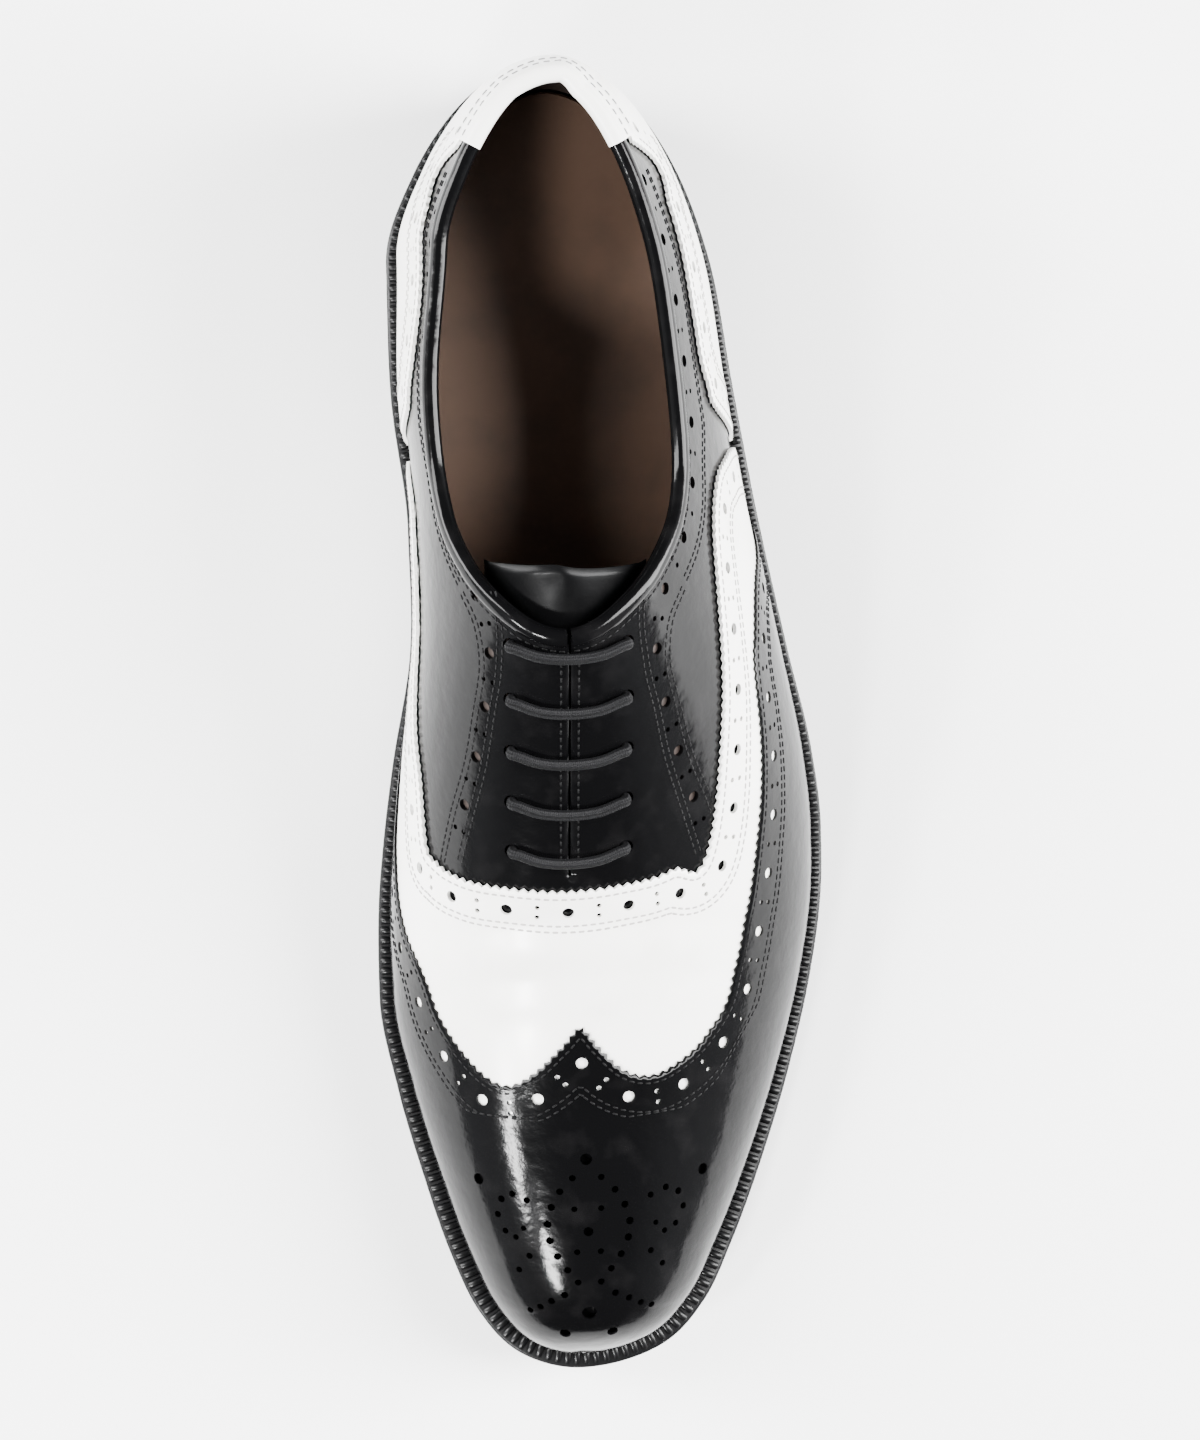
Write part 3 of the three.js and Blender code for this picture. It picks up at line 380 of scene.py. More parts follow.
class Last:
    """The form under the shoe. Places on it are rows of (turn, girth).

    turn runs from 0 at the back of the heel to pi at the toe, girth from -1 on the medial feather line over
    0 on the ridge to 1 on the lateral feather line. All lengths are millimetres.
    """

    SOLE, SOLE_GAP, WELT, REVEAL, WALL = 5.0, 0.3, 2.7, 5.0, 2.0

    def __init__(self, sizes):
        self.length = sizes.length / MM
        self.width = sizes.ball_width / MM
        self.instep = sizes.instep_rise / MM
        self.back = sizes.back_rise / MM
        self.heel = sizes.heel_height / MM
        self.spring = sizes.toe_spring / MM
        self.foot = self.SOLE + self.SOLE_GAP + self.WELT
        turns = np.linspace(0, np.pi, 33)
        widest = [np.abs(self.welt_edge(turns, np.full(33, side), 0)[:, 0]).max() for side in (-1.0, 1.0)]
        self.aside = (widest[0] - widest[1]) / 2
        self.facing = self.aside + self.width * read(RIDGE, "shift", 0.53)

    def under(self, y):
        """Underside of the outsole: heel height times its lift plus toe spring times its lift."""
        share = 0.5 - y / self.length
        lift = self.heel * read(OUTLINE, "heel_lift", share)
        return lift + self.spring * read(OUTLINE, "toe_lift", share)

    def welt_edge(self, turn, side, shifted=1):
        """Edge of the welt in plan: x = root of the smoothed squared half width, y = from length / 2 down."""
        share = share_of(turn)
        lateral = read(OUTLINE, "lateral", share, power=2)
        square = np.where(side > 0, lateral, read(OUTLINE, "medial", share, power=2))
        x = side * self.width * np.sqrt(np.maximum(square, 0))
        x = x + (self.aside if shifted else 0)
        return np.stack([x, self.length * (0.5 - share)], -1)

    def welt_out(self, turn, side):
        """Direction out of the welt's edge: its run turned a quarter, or straight back or ahead at the ends."""
        run = self.welt_edge(turn + 1e-3, side) - self.welt_edge(turn - 1e-3, side)
        out = unit(np.stack([-run[..., 1] * side, run[..., 0] * side], -1))
        out[turn < 1e-3] = (0, 1)
        out[turn > np.pi - 1e-3] = (0, -1)
        return out

    def feather(self, turn, side, inset=0.0):
        """Feather line in plan: the welt's edge moved in by its reveal."""
        move = self.REVEAL * read(OUTLINE, "reveal", share_of(turn)) + inset
        return self.welt_edge(turn, side) - self.welt_out(turn, side) * move[..., None]

    def point(self, turn, girth):
        """Point on the last: each half section is one cubic Bezier curve from the ridge to the feather line."""
        turn, girth = np.broadcast_arrays(np.asarray(turn, float), np.asarray(girth, float))
        share = share_of(turn)
        side = np.where(girth < 0, -1.0, 1.0)
        foot, other = self.feather(turn, side), self.feather(turn, -side)
        out = self.welt_out(turn, side)
        wall = np.where(side > 0, read(WALLS, "lateral_wall", share), read(WALLS, "medial_wall", share))
        belly = np.where(side > 0, read(WALLS, "lateral_belly", share), read(WALLS, "medial_belly", share))
        rise = self.instep * np.sqrt(np.maximum(read(RIDGE, "rise", share, power=2), 0))
        low = self.under(foot[..., 1]) + self.foot
        middle = (foot[..., 1] + other[..., 1]) / 2
        half = foot[..., 0] - self.aside, other[..., 0] - self.aside
        fade = np.minimum(np.sqrt(np.abs(half[0] * half[1])) / (self.width / 9), 1)
        ridge = self.width * read(RIDGE, "shift", share) * fade
        along = middle - self.length * read(RIDGE, "lean", share)
        top = self.under(middle) + self.foot + rise
        reach = np.sqrt(np.abs((half[0] - ridge) * (half[1] - ridge)))
        swell = (self.width * belly)[..., None] * out
        crown = ridge + side * read(RIDGE, "crown", share) * reach
        corners = [
            np.stack([ridge + self.aside, along, top], -1),
            np.stack([crown + self.aside, along, top], -1),
            np.stack([foot[..., 0] + swell[..., 0], foot[..., 1] + swell[..., 1], low + rise * wall], -1),
            np.stack([foot[..., 0], foot[..., 1], low], -1),
        ]
        v = np.abs(girth)[..., None]
        u = 1 - v
        return u**3 * corners[0] + 3 * u * u * v * corners[1] + 3 * u * v * v * corners[2] + v**3 * corners[3]

    def slopes(self, turn, girth):
        """How the point moves with the turn and with the girth, by central differences."""
        near = 2e-3
        t = np.clip(turn, 2 * near, np.pi - 2 * near)
        g = np.clip(girth, near - 1, 1 - near)
        along = (self.point(t + near, g) - self.point(t - near, g)) / (2 * near)
        return along, (self.point(t, g + near) - self.point(t, g - near)) / (2 * near)

    def out(self, turn, girth):
        """Direction out of the last. At the heel and the toe both sides share one, in the middle plane."""
        turn, girth = np.broadcast_arrays(np.asarray(turn, float), np.asarray(girth, float))
        normal = unit(np.cross(*self.slopes(turn, girth)))
        end = (turn < 4e-3) | (turn > np.pi - 4e-3)
        both = normal + unit(np.cross(*self.slopes(turn, -girth)))
        both[..., 0] = 0
        return np.where(end[..., None], unit(both), normal)

    def crease(self, turn, girth):
        """Depth of the bends over the vamp: bell curves along the length that fade round the girth."""
        share = share_of(turn)[..., None]
        fade = np.exp(-((girth[..., None] / CREASES["reach"]) ** 4))
        bend = CREASES["at"] + 0.02 * girth[..., None] ** 2
        return (CREASES["depth"] * np.exp(-(((share - bend) / CREASES["spread"]) ** 2)) * fade).sum(-1)

    def normal(self, places):
        """Direction out of the creased surface: out of the last, leaning down the slope of the creases."""
        turn, girth = places[..., 0], places[..., 1]
        near = 2e-3
        down = (self.crease(turn + near, girth) - self.crease(turn - near, girth)) / (2 * near)
        round_ = (self.crease(turn, girth + near) - self.crease(turn, girth - near)) / (2 * near)
        return unit(self.out(turn, girth) + self.slope(places, down, round_))

    def shell(self, places, out):
        """Points at a distance over the last, lowered by the creases."""
        turn, girth = np.asarray(places, float)[..., 0], np.asarray(places, float)[..., 1]
        height = np.asarray(out, float) - self.crease(turn, girth)
        return self.point(turn, girth) + self.out(turn, girth) * height[..., None]

    def solved(self, places, p, q):
        """Shares of the two slopes whose sum has scalar products p and q with them, by Cramer's rule."""
        along, round_ = self.slopes(places[..., 0], places[..., 1])
        a, b, c = dot(along, along), dot(along, round_), dot(round_, round_)
        det = np.maximum(a * c - b * b, 1e-6)
        return np.stack([(c * p - b * q) / det, (a * q - b * p) / det], -1)

    def step(self, places, move):
        """Change of (turn, girth) that moves a point by a vector in the surface, by least squares."""
        along, round_ = self.slopes(places[..., 0], places[..., 1])
        return self.solved(places, dot(along, move), dot(round_, move))

    def slope(self, places, by_turn, by_girth):
        """Gradient in space of a value that changes by these rates with the turn and the girth."""
        along, round_ = self.slopes(places[..., 0], places[..., 1])
        shares = self.solved(places, by_turn, by_girth)
        return along * shares[..., :1] + round_ * shares[..., 1:]

    def run(self, line):
        """Direction of a line of places, in space."""
        along, round_ = self.slopes(line[:, 0], line[:, 1])
        move = np.gradient(line, axis=0)
        return unit(along * move[:, :1] + round_ * move[:, 1:])

    def beside(self, line, distance, clean=True):
        """A line moved sideways in the surface: outward x run, times the distance.

        clean drops the loops that a sharp corner makes: places nearer to the line than the distance.
        """
        aside = unit(np.cross(self.out(line[:, 0], line[:, 1]), self.run(line)))
        moved = line + self.step(line, aside * np.reshape(distance, (-1, 1)))
        moved[:, 0] = np.clip(moved[:, 0], 0, np.pi)
        moved[:, 1] = np.clip(moved[:, 1], -1, 1)
        if not clean:
            return moved
        apart = self.point(*moved.T)[:, None] - self.point(*line.T)[None]
        return moved[np.linalg.norm(apart, axis=-1).min(1) > 0.96 * abs(distance)]

    def paced(self, line, pitch, middle=False):
        """Places at an even pitch along a line, from its start or both ways from where it crosses the ridge."""
        path = length_along(self.point(*line.T))
        if middle:
            centre = path[np.abs(line[:, 1]).argmin()]
            marks = centre + pitch * np.arange(-int(centre / pitch), int((path[-1] - centre) / pitch) + 1)
        else:
            marks = np.linspace(0, path[-1], max(int(round(path[-1] / pitch)), 1) + 1)
        return between(marks, path, line)

    def gimped(self, line, pitch=2.1, depth=0.8):
        """Pinked edge: a tooth and a notch in each pitch, the notches moved into the panel."""
        teeth = self.paced(line, pitch / 2)
        deep = np.where(np.arange(len(teeth)) % 2, depth, 0.0)
        deep[0] = deep[-1] = 0
        return self.beside(teeth, deep, clean=False)

    def circle(self, place, radius, sides=12):
        """Places round a circle in the surface."""
        angle = 2 * np.pi * np.arange(sides) / sides
        along, _ = self.slopes(*place)
        first = unit(along)
        second = np.cross(self.out(*place), first)
        ring = radius * (np.cos(angle)[:, None] * first + np.sin(angle)[:, None] * second)
        return place + self.step(np.broadcast_to(place, (sides, 2)), ring)

    def girth_beside(self, turn, aside):
        """Girth of the place at a distance to the lateral side of the line between the facings."""
        start = np.full(np.shape(turn), 0.7)
        return halved(-start, start, lambda g: self.facing + aside - self.point(turn, g)[..., 0])

    def over_collar(self, p):
        """Height of a point over the collar's edge: foot height at the heel plus back rise times its share."""
        edge = self.heel + self.foot + self.back * read(COLLAR, "height", 0.5 - p[..., 1] / self.length)
        return p[..., 2] - edge

    def collar_girth(self, turn, side):
        """Girth of the collar's edge at a turn, on one side."""
        top = np.full(np.shape(turn), 0.97)
        return side * halved(top * 1e-6, top, lambda g: self.over_collar(self.point(turn, side * g)))

    def collar_line(self, side, count=200):
        """Places along the collar's edge on one side, from the back of the heel to the throat."""
        throat = halved(np.zeros(1), turn_of([0.5]), lambda t: self.over_collar(self.point(t, 0.0 * t)))[0]
        turn = throat * np.sin(np.linspace(0, np.pi / 2, count))
        line = np.stack([turn, self.collar_girth(turn, side)], -1)
        aside = side * (self.point(*line.T)[:, 0] - self.facing)
        return line[aside > SLOT / 2]


def halved(low, high, test):
    """Where a falling test crosses zero between two arrays, by halving thirty times."""
    for _ in range(30):
        middle = (low + high) / 2
        above = test(middle) > 0
        low, high = np.where(above, middle, low), np.where(above, high, middle)
    return (low + high) / 2


def seam(columns, count=500):
    """Places along a seam given as a share of the length by girth, from the lateral to the medial side."""
    girth = np.linspace(1, -1, count)
    return np.stack([turn_of(read(columns, "at", girth, key="girth")), girth], -1)


def counter_seam(last, side, count=200):
    """Places along the counter's upper edge on one side, from the back of the heel to its front corner."""
    turn = np.linspace(0, turn_of(COUNTER_END), count)
    name = "lateral" if side > 0 else "medial"
    share = np.maximum(share_of(turn), COUNTER_EDGE["at"][0])
    edge = np.maximum(read(COUNTER_EDGE, name, share), np.abs(last.collar_girth(turn, side)) + 0.05)
    return np.stack([turn, side * np.minimum(edge, COUNTER_LOW)], -1)


def facing_seam(name, side, start=0.405, end=0.6, count=120):
    """Places along one of the seams beside the lacing."""
    share = np.linspace(start, end, count)
    return np.stack([turn_of(share), side * read(FACING_SEAMS, name, share)], -1)


def collar_seam(side, count=160):
    """Places along the outer seam, from under the counter up to the facing."""
    share = np.linspace(0.09, 0.4, count)
    return np.stack([turn_of(share), side * read(COLLAR_SEAM, "girth", share)], -1)


def quarter_row(last, side):
    """Line of holes midway between the collar or the inner seam and the outer seam, evened out."""
    share = np.linspace(0.1, 0.575, 240)
    outer = np.where(share < 0.4, read(COLLAR_SEAM, "girth", share), read(FACING_SEAMS, "outer", share))
    collar = np.abs(last.collar_girth(turn_of(np.minimum(share, 0.42)), side))
    inner = np.where(share < 0.405, np.maximum(collar, 0.285), read(FACING_SEAMS, "inner", share))
    middle = np.pad((inner + outer) / 2, 12, mode="edge")
    middle = np.convolve(middle, np.full(25, 1 / 25), mode="valid")
    return np.stack([turn_of(share), side * middle], -1)


def punched(last, line, sizes, wide=1.25, middle=True):
    """Circles of a row: big holes at the punching pitch, and a pair of small ones across the row between."""
    pitch = sizes.hole_pitch / MM
    marks = last.paced(line, pitch / 2, middle=middle)
    big, small = marks[0::2], marks[1::2]
    if middle and len(marks) > 1:
        centre = np.abs(marks[:, 1]).argmin() % 2
        big, small = marks[centre::2], marks[1 - centre::2]
    aside = unit(np.cross(last.out(*small.T), run_near(last, small, line)))
    pairs = [small + last.step(small, aside * move) for move in (-wide, wide)]
    places = [(place, sizes.big_hole / MM / 2, 12) for place in big]
    places += [(place, sizes.small_hole / MM / 2, 8) for pair in pairs for place in pair]
    return [last.circle(p, radius, sides) for p, radius, sides in places if abs(p[1]) < PUNCHED_TO]


def run_near(last, places, line):
    """Direction of the line at the places nearest on it."""
    apart = np.linalg.norm(((places[:, None] - line[None]) * SCALE), axis=-1)
    return last.run(line)[apart.argmin(1)]


def inside(points, loop):
    """True for the points within a closed loop, by counting the edges crossed."""
    a, b = loop, np.roll(loop, -1, 0)
    rise = np.where(a[:, 1] == b[:, 1], 1, b[:, 1] - a[:, 1])
    result = []
    for some in np.array_split(points, max(len(points) * len(loop) // 4_000_000, 1)):
        x, y = some[:, :1], some[:, 1:]
        across = (a[:, 1] > y) != (b[:, 1] > y)
        meets = (b[:, 0] - a[:, 0]) * (y - a[:, 1]) / rise + a[:, 0]
        result.append(((x < meets) & across).sum(1) % 2 == 1)
    return np.concatenate(result)


def clear_of(points, others, room):
    """The points that are further than room from all others."""
    kept = []
    for some in np.array_split(points, max(len(points) * len(others) // 4_000_000, 1)):
        apart = ((some[:, None] - others[None]) ** 2).sum(-1).min(1)
        kept.append(some[apart > room**2])
    return np.concatenate(kept)


def net(outline, holes=(), rings=(), grain=2.0):
    """Triangles over a panel laid flat: a honeycomb of points between the loops, joined by Delaunay's rule.

    Gives the places, the corners, counter-clockwise, and which places lie on a hole. Triangles in a hole,
    whose corners all lie on one loop, and those outside the outline are left out.
    """
    loops = [outline * SCALE] + [hole * SCALE for hole in holes]
    low, high = loops[0].min(0), loops[0].max(0)
    across, up = np.arange(low[0], high[0], grain), np.arange(low[1], high[1], grain * 0.866)
    grid = np.stack(np.meshgrid(across, up), -1)
    grid[1::2, :, 0] += grain / 2
    extra = np.concatenate([ring * SCALE for ring in rings]) if len(rings) else np.zeros((0, 2))
    extra = clear_of(extra, loops[0], 0.3) if len(extra) else extra
    grid = clear_of(grid.reshape(-1, 2), np.concatenate([loops[0], extra]), 0.55 * grain)
    grid = np.concatenate([extra, grid])
    grid = grid[inside(grid, loops[0])]
    if len(holes):
        centres = np.array([loop.mean(0) for loop in loops[1:]])
        reach = np.array([np.linalg.norm(loop - loop.mean(0), axis=1).max() for loop in loops[1:]])
        apart = np.linalg.norm(grid[:, None] - centres[None], axis=-1) - reach
        grid = grid[apart.min(1) > 0.35]
    starts = np.cumsum([0] + [len(loop) for loop in loops])
    edges = [(s + k, s + (k + 1) % (e - s)) for s, e in zip(starts, starts[1:]) for k in range(e - s)]
    points = np.concatenate(loops + [grid])
    vectors = [Vector(p) for p in points.tolist()]
    made, _, faces, origin, _, _ = delaunay_2d_cdt(vectors, edges, [], 0, 1e-5)
    first = np.array([ids[0] if ids else -1 for ids in origin])
    found = np.array([tuple(p) for p in made])
    flat = np.where(first[:, None] >= 0, points[first], found)
    corners = np.array(faces)
    loop_of = np.searchsorted(starts, first, side="right") - 1
    loop_of[(first < 0) | (first >= starts[-1])] = -1
    on = loop_of[corners]
    in_hole = (on[:, 0] > 0) & (on[:, 0] == on[:, 1]) & (on[:, 1] == on[:, 2])
    kept = ~in_hole & inside(flat[corners].mean(1), loops[0])
    return flat / SCALE, corners[kept], loop_of > 0


def joined(*nets):
    """Several nets as one."""
    shift = np.cumsum([0] + [len(one[0]) for one in nets])
    corners = np.concatenate([one[1] + s for one, s in zip(nets, shift)])
    return np.concatenate([one[0] for one in nets]), corners, np.concatenate([one[2] for one in nets])


def border(first, *rest):
    """Closed outline from lines, each joined to the next, without doubled places."""
    line = np.concatenate([first, *rest])
    apart = np.linalg.norm((line - np.roll(line, 1, 0)) * SCALE, axis=1)
    return line[apart > 0.05]


def level(turn0, turn1, girth, step=2.2):
    """Places along a girth from one turn to another."""
    count = max(int(abs(turn1 - turn0) * SCALE[0] / step), 2)
    turn = np.linspace(turn0, turn1, count)
    return np.stack([turn, np.full(count, float(girth))], -1)


def upright(turn, girth0, girth1, step=2.2):
    """Places along a turn from one girth to another."""
    count = max(int(round(abs(girth1 - girth0) * SCALE[1] / step)), 2)
    girth = np.linspace(girth0, girth1, count)
    return np.stack([np.full(count, float(turn)), girth], -1)


def mesh_object(name, points, faces, normals=None, sharp=40, uv=None):
    """Mesh object from points in millimetres and faces, turned to face outwards, and shown in metres."""
    points = np.asarray(points, float) * MM
    mesh = bpy.data.meshes.new(name)
    mesh.from_pydata(points.tolist(), [], [list(face) for face in faces])
    mesh.update()
    if volume(mesh) < 0:
        mesh.flip_normals()
    mesh.shade_smooth()
    if normals is not None:
        mesh.normals_split_custom_set(normals)
    else:
        mesh.set_sharp_from_angle(angle=np.radians(sharp))
    if uv is not None:
        corner = np.zeros(len(mesh.loops), int)
        mesh.loops.foreach_get("vertex_index", corner)
        mesh.uv_layers.new(name="UVMap").data.foreach_set("uv", uv[corner].ravel())
    made = bpy.data.objects.new(name, mesh)
    bpy.context.scene.collection.objects.link(made)
    return made


def volume(mesh):
    """Signed volume: a sixth of the triple product of each triangle's corners, summed."""
    mesh.calc_loop_triangles()
    corners = np.zeros(len(mesh.loop_triangles) * 3, int)
    mesh.loop_triangles.foreach_get("vertices", corners)
    points = np.zeros(len(mesh.vertices) * 3)
    mesh.vertices.foreach_get("co", points)
    a, b, c = points.reshape(-1, 3)[corners.reshape(-1, 3)].transpose(1, 0, 2)
    return dot(np.cross(a, b), c).sum() / 6


def finish_piece(piece, slot, material, *stands_for):
    """Gives a piece its material and body, and hides the frame's nodes that it stands for. slot is not used."""
    piece.data.materials.clear()
    piece.data.materials.append(material)
    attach(piece, BODY)
    if stands_for:
        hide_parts(*stands_for)
    return piece


def panel(name, last, made, top, bottom, edge=0.15):
    """Leather panel between two distances over the last.

    Its outer rim is lowered by edge, and the normals there lean out, which rounds it off.
    """
    places, corners, holed = made
    key = places.copy()
    ends = (places[:, 0] < 1e-6) | (places[:, 0] > np.pi - 1e-6)
    key[ends, 1] = np.abs(key[ends, 1])
    _, first, same = np.unique(np.round(key, 6), axis=0, return_index=True, return_inverse=True)
    places, corners = places[first], same.reshape(-1)[corners]
    corners = corners[(corners[:, 0] != corners[:, 1]) & (corners[:, 1] != corners[:, 2])
                      & (corners[:, 2] != corners[:, 0])]
    count = len(places)
    a, b = corners.ravel(), np.roll(corners, -1, 1).ravel()
    rim = ~np.isin(a * count + b, b * count + a)
    a, b = a[rim], b[rim]
    normal = last.normal(places)
    upper = last.shell(places, top)
    outward = np.zeros_like(upper)
    aside = np.cross(unit(upper[b] - upper[a]), normal[a])
    np.add.at(outward, a, aside)
    np.add.at(outward, b, aside)
    on_rim = np.zeros(count, bool)
    on_rim[a] = on_rim[b] = True
    on_rim &= ~holed[first]
    upper[on_rim] -= normal[on_rim] * edge
    lean = normal.copy()
    lean[on_rim] = unit(normal[on_rim] + 0.8 * unit(outward[on_rim]))
    lower = last.shell(places, bottom)
    points = np.concatenate([upper, lower])
    wall = np.stack([b, a, a + count, b + count], -1)
    faces = corners.tolist() + (corners[:, ::-1] + count).tolist() + wall.tolist()
    across = unit(np.cross(points[wall[:, 1]] - points[wall[:, 0]], points[wall[:, 3]] - points[wall[:, 0]]))
    loops = [lean[corners].reshape(-1, 3), -normal[corners[:, ::-1]].reshape(-1, 3), np.repeat(across, 4, 0)]
    return mesh_object(name, points, faces, normals=np.concatenate(loops))


def grid_faces(rows, columns, wrap_rows=False, wrap_columns=False):
    """Four-cornered faces over a grid whose point (row, column) is number row * columns + column."""
    row, column = (grid.ravel() for grid in np.meshgrid(
        np.arange(rows - (not wrap_rows)), np.arange(columns - (not wrap_columns)), indexing="ij"))
    after, ahead = (row + 1) % rows, (column + 1) % columns
    return np.stack([row * columns + column, row * columns + ahead,
                     after * columns + ahead, after * columns + column], -1)


def lowered(last, line, distance):
    """A line along the collar's edge moved down into the panel: outward x run, times the distance."""
    here = last.point(*line.T)
    down = unit(np.cross(last.out(*line.T), unit(np.gradient(here, axis=0))))
    places = line + last.step(line, down * distance)
    places[:, 0] = np.clip(places[:, 0], 0, np.pi)
    return places


def back_line(last, end):
    """Places along the collar's edge round the back of the heel, from the medial to the lateral side."""
    medial, lateral = (last.collar_line(side, 400) for side in (-1, 1))
    return np.concatenate([medial[medial[:, 0] < end][::-1][:-1], lateral[lateral[:, 0] < end]])


def strip(name, last, line, profile):
    """Closed strip along a line: each ring lies at a distance down into the panel and at a distance out."""
    points = np.concatenate([last.shell(lowered(last, line, into), out) for into, out in profile])
    wide, long = len(profile), len(line)
    faces = grid_faces(wide, long, wrap_rows=True).tolist()
    ends = np.arange(wide) * long
    faces += [ends.tolist(), (ends + long - 1)[::-1].tolist()]
    return mesh_object(name, points, faces, sharp=50)


def beads(name, centres, along, normals, length, radius, height=0.7):
    """Joined stitches: capsules of fourteen corners, each flattened onto the surface by the height."""
    angle = np.arange(6) * np.pi / 3
    ring = np.stack([np.zeros(6), np.cos(angle), height * np.sin(angle)], -1) * radius
    half = np.reshape(length, (-1, 1, 1)) / 2
    shape = np.repeat([[-1, 0, 0], [-0.7, 0, 0], [0.7, 0, 0], [1, 0, 0]], (1, 6, 6, 1), axis=0)
    local = shape[None] * half
    local = local + np.concatenate([np.zeros((1, 3)), ring, ring, np.zeros((1, 3))])[None]
    side = unit(np.cross(normals, along))
    points = (centres[:, None] + local[..., :1] * along[:, None] + local[..., 1:2] * side[:, None]
              + local[..., 2:] * normals[:, None])
    k, after = np.arange(6), (np.arange(6) + 1) % 6
    tips = np.concatenate([np.stack([0 * k, 1 + after, 1 + k], -1),
                           np.stack([0 * k + 13, 7 + k, 7 + after], -1)])
    sides = np.stack([1 + k, 1 + after, 7 + after, 7 + k], -1)
    shift = np.arange(len(centres))[:, None, None] * 14
    faces = (tips[None] + shift).reshape(-1, 3).tolist() + (sides[None] + shift).reshape(-1, 4).tolist()
    return mesh_object(name, points.reshape(-1, 3), faces, sharp=80)


def stitches(name, last, rows, sizes, radius=0.24):
    """Stitches along rows of (line, height over the last)."""
    pitch = sizes.stitch_pitch / MM
    parts = []
    for line, out in rows:
        marks = last.paced(line, pitch)
        marks = marks[np.abs(marks[:, 1]) < STITCHED_TO]
        at = last.shell(marks, out + 0.02)
        run = at[1:] - at[:-1]
        near = np.linalg.norm(run, axis=1) < 1.6 * pitch
        middle = (marks[1:] + marks[:-1])[near] / 2
        parts.append((last.shell(middle, out + 0.02), unit(run)[near], last.normal(middle)))
    centres, along, normals = (np.concatenate(column) for column in zip(*parts))
    return beads(name, centres, along, normals, np.full(len(centres), pitch * 0.74), radius)


def rings_across(name, last, profile, count=200):
    """Solid across the shoe: rings of (inset from the welt's edge, height over the sole's underside)."""
    turn = np.linspace(0, np.pi, count)
    columns = []
    for side in (1.0, -1.0):
        for inset, height in (profile if side > 0 else profile[::-1]):
            move = inset(turn) if callable(inset) else np.full(count, inset)
            edge = last.welt_edge(turn, side) - last.welt_out(turn, side) * move[:, None]
            columns.append(np.column_stack([edge, last.under(edge[:, 1]) + height]))
    faces = grid_faces(len(columns), count, wrap_rows=True)
    return mesh_object(name, *welded(np.concatenate(columns), faces), sharp=35)


def welded(points, faces):
    """Points without doubles, and faces without doubled corners."""
    _, first, same = np.unique(np.round(points, 4), axis=0, return_index=True, return_inverse=True)
    faces = [list(dict.fromkeys(face)) for face in same.reshape(-1)[faces].tolist()]
    return points[first], [face for face in faces if len(face) > 2]


def stack(name, last, profile):
    """Heel between heights: an outline round the back and across the hollow front face, ring by ring.

    profile: rows of (function that gives the height at places along the shoe, inset from the welt's edge). The
    front face is a parabola across the shoe.
    """
    def breast(x):
        return last.length / 2 - BREAST + HOLLOW * (1 - ((x - last.aside) / last.width * 2) ** 2)

    rings = []
    for height_at, inset in profile:
        sides = []
        for side in (1.0, -1.0):
            def edge(turn):
                return last.welt_edge(turn, side) - last.welt_out(turn, side) * inset

            def behind(turn):
                return edge(turn)[:, 1] - breast(edge(turn)[:, 0])

            end = halved(np.full(1, 0.3), np.full(1, 1.6), behind)[0]
            sides.append(edge(np.linspace(0, end, 70)))
        across = np.linspace(sides[0][-1, 0], sides[1][-1, 0], 30)[1:-1]
        ring = np.concatenate([sides[0], np.column_stack([across, breast(across)]), sides[1][::-1][:-1]])
        rings.append(np.column_stack([ring, height_at(ring[:, 1])]))
    wide = len(rings[0])
    faces = grid_faces(len(rings), wide, wrap_columns=True).tolist()
    faces += [np.arange(wide)[::-1].tolist(), (np.arange(wide) + (len(rings) - 1) * wide).tolist()]
    return mesh_object(name, np.concatenate(rings), faces, sharp=35)


def round_band(name, last, profile, count=260):
    """Closed band round the shoe: rings of (share of the way in to the upper, inset, height over the sole)."""
    turn = np.linspace(0, np.pi, count)
    turn = np.concatenate([turn, turn[::-1][1:-1]])
    side = np.concatenate([np.ones(count), -np.ones(count - 2)])
    deep = last.REVEAL * read(OUTLINE, "reveal", share_of(turn)) - last.SOLE_GAP
    columns = []
    for share, inset, height in profile:
        edge = last.welt_edge(turn, side) - last.welt_out(turn, side) * (share * deep + inset)[:, None]
        columns.append(np.column_stack([edge, last.under(edge[:, 1]) + height]))
    faces = grid_faces(len(profile), len(turn), wrap_rows=True, wrap_columns=True)
    return mesh_object(name, np.concatenate(columns), faces.tolist(), sharp=50)


def through(points, pitch):
    """Centripetal Catmull-Rom curve through points, by repeated blends, then paced evenly along its length."""
    ends = np.concatenate([[2 * points[0] - points[1]], points, [2 * points[-1] - points[-2]]])
    knots = np.concatenate([[0], np.cumsum(np.sqrt(np.linalg.norm(np.diff(ends, axis=0), axis=1)))])
    t = np.linspace(knots[1], knots[-2], 4000)
    i = np.clip(np.searchsorted(knots, t) - 1, 1, len(points) - 1)
    k, p = [knots[i + n] for n in (-1, 0, 1, 2)], [ends[i + n] for n in (-1, 0, 1, 2)]

    def mix(a, b, m, n):
        return ((k[n] - t)[:, None] * a + (t - k[m])[:, None] * b) / (k[n] - k[m])[:, None]

    a = [mix(p[n], p[n + 1], n, n + 1) for n in range(3)]
    b = [mix(a[n], a[n + 1], n, n + 2) for n in range(2)]
    curve_points = mix(b[0], b[1], 1, 2)
    path = length_along(curve_points)
    marks = np.linspace(0, path[-1], int(path[-1] / pitch))
    return between(marks, path, curve_points), marks


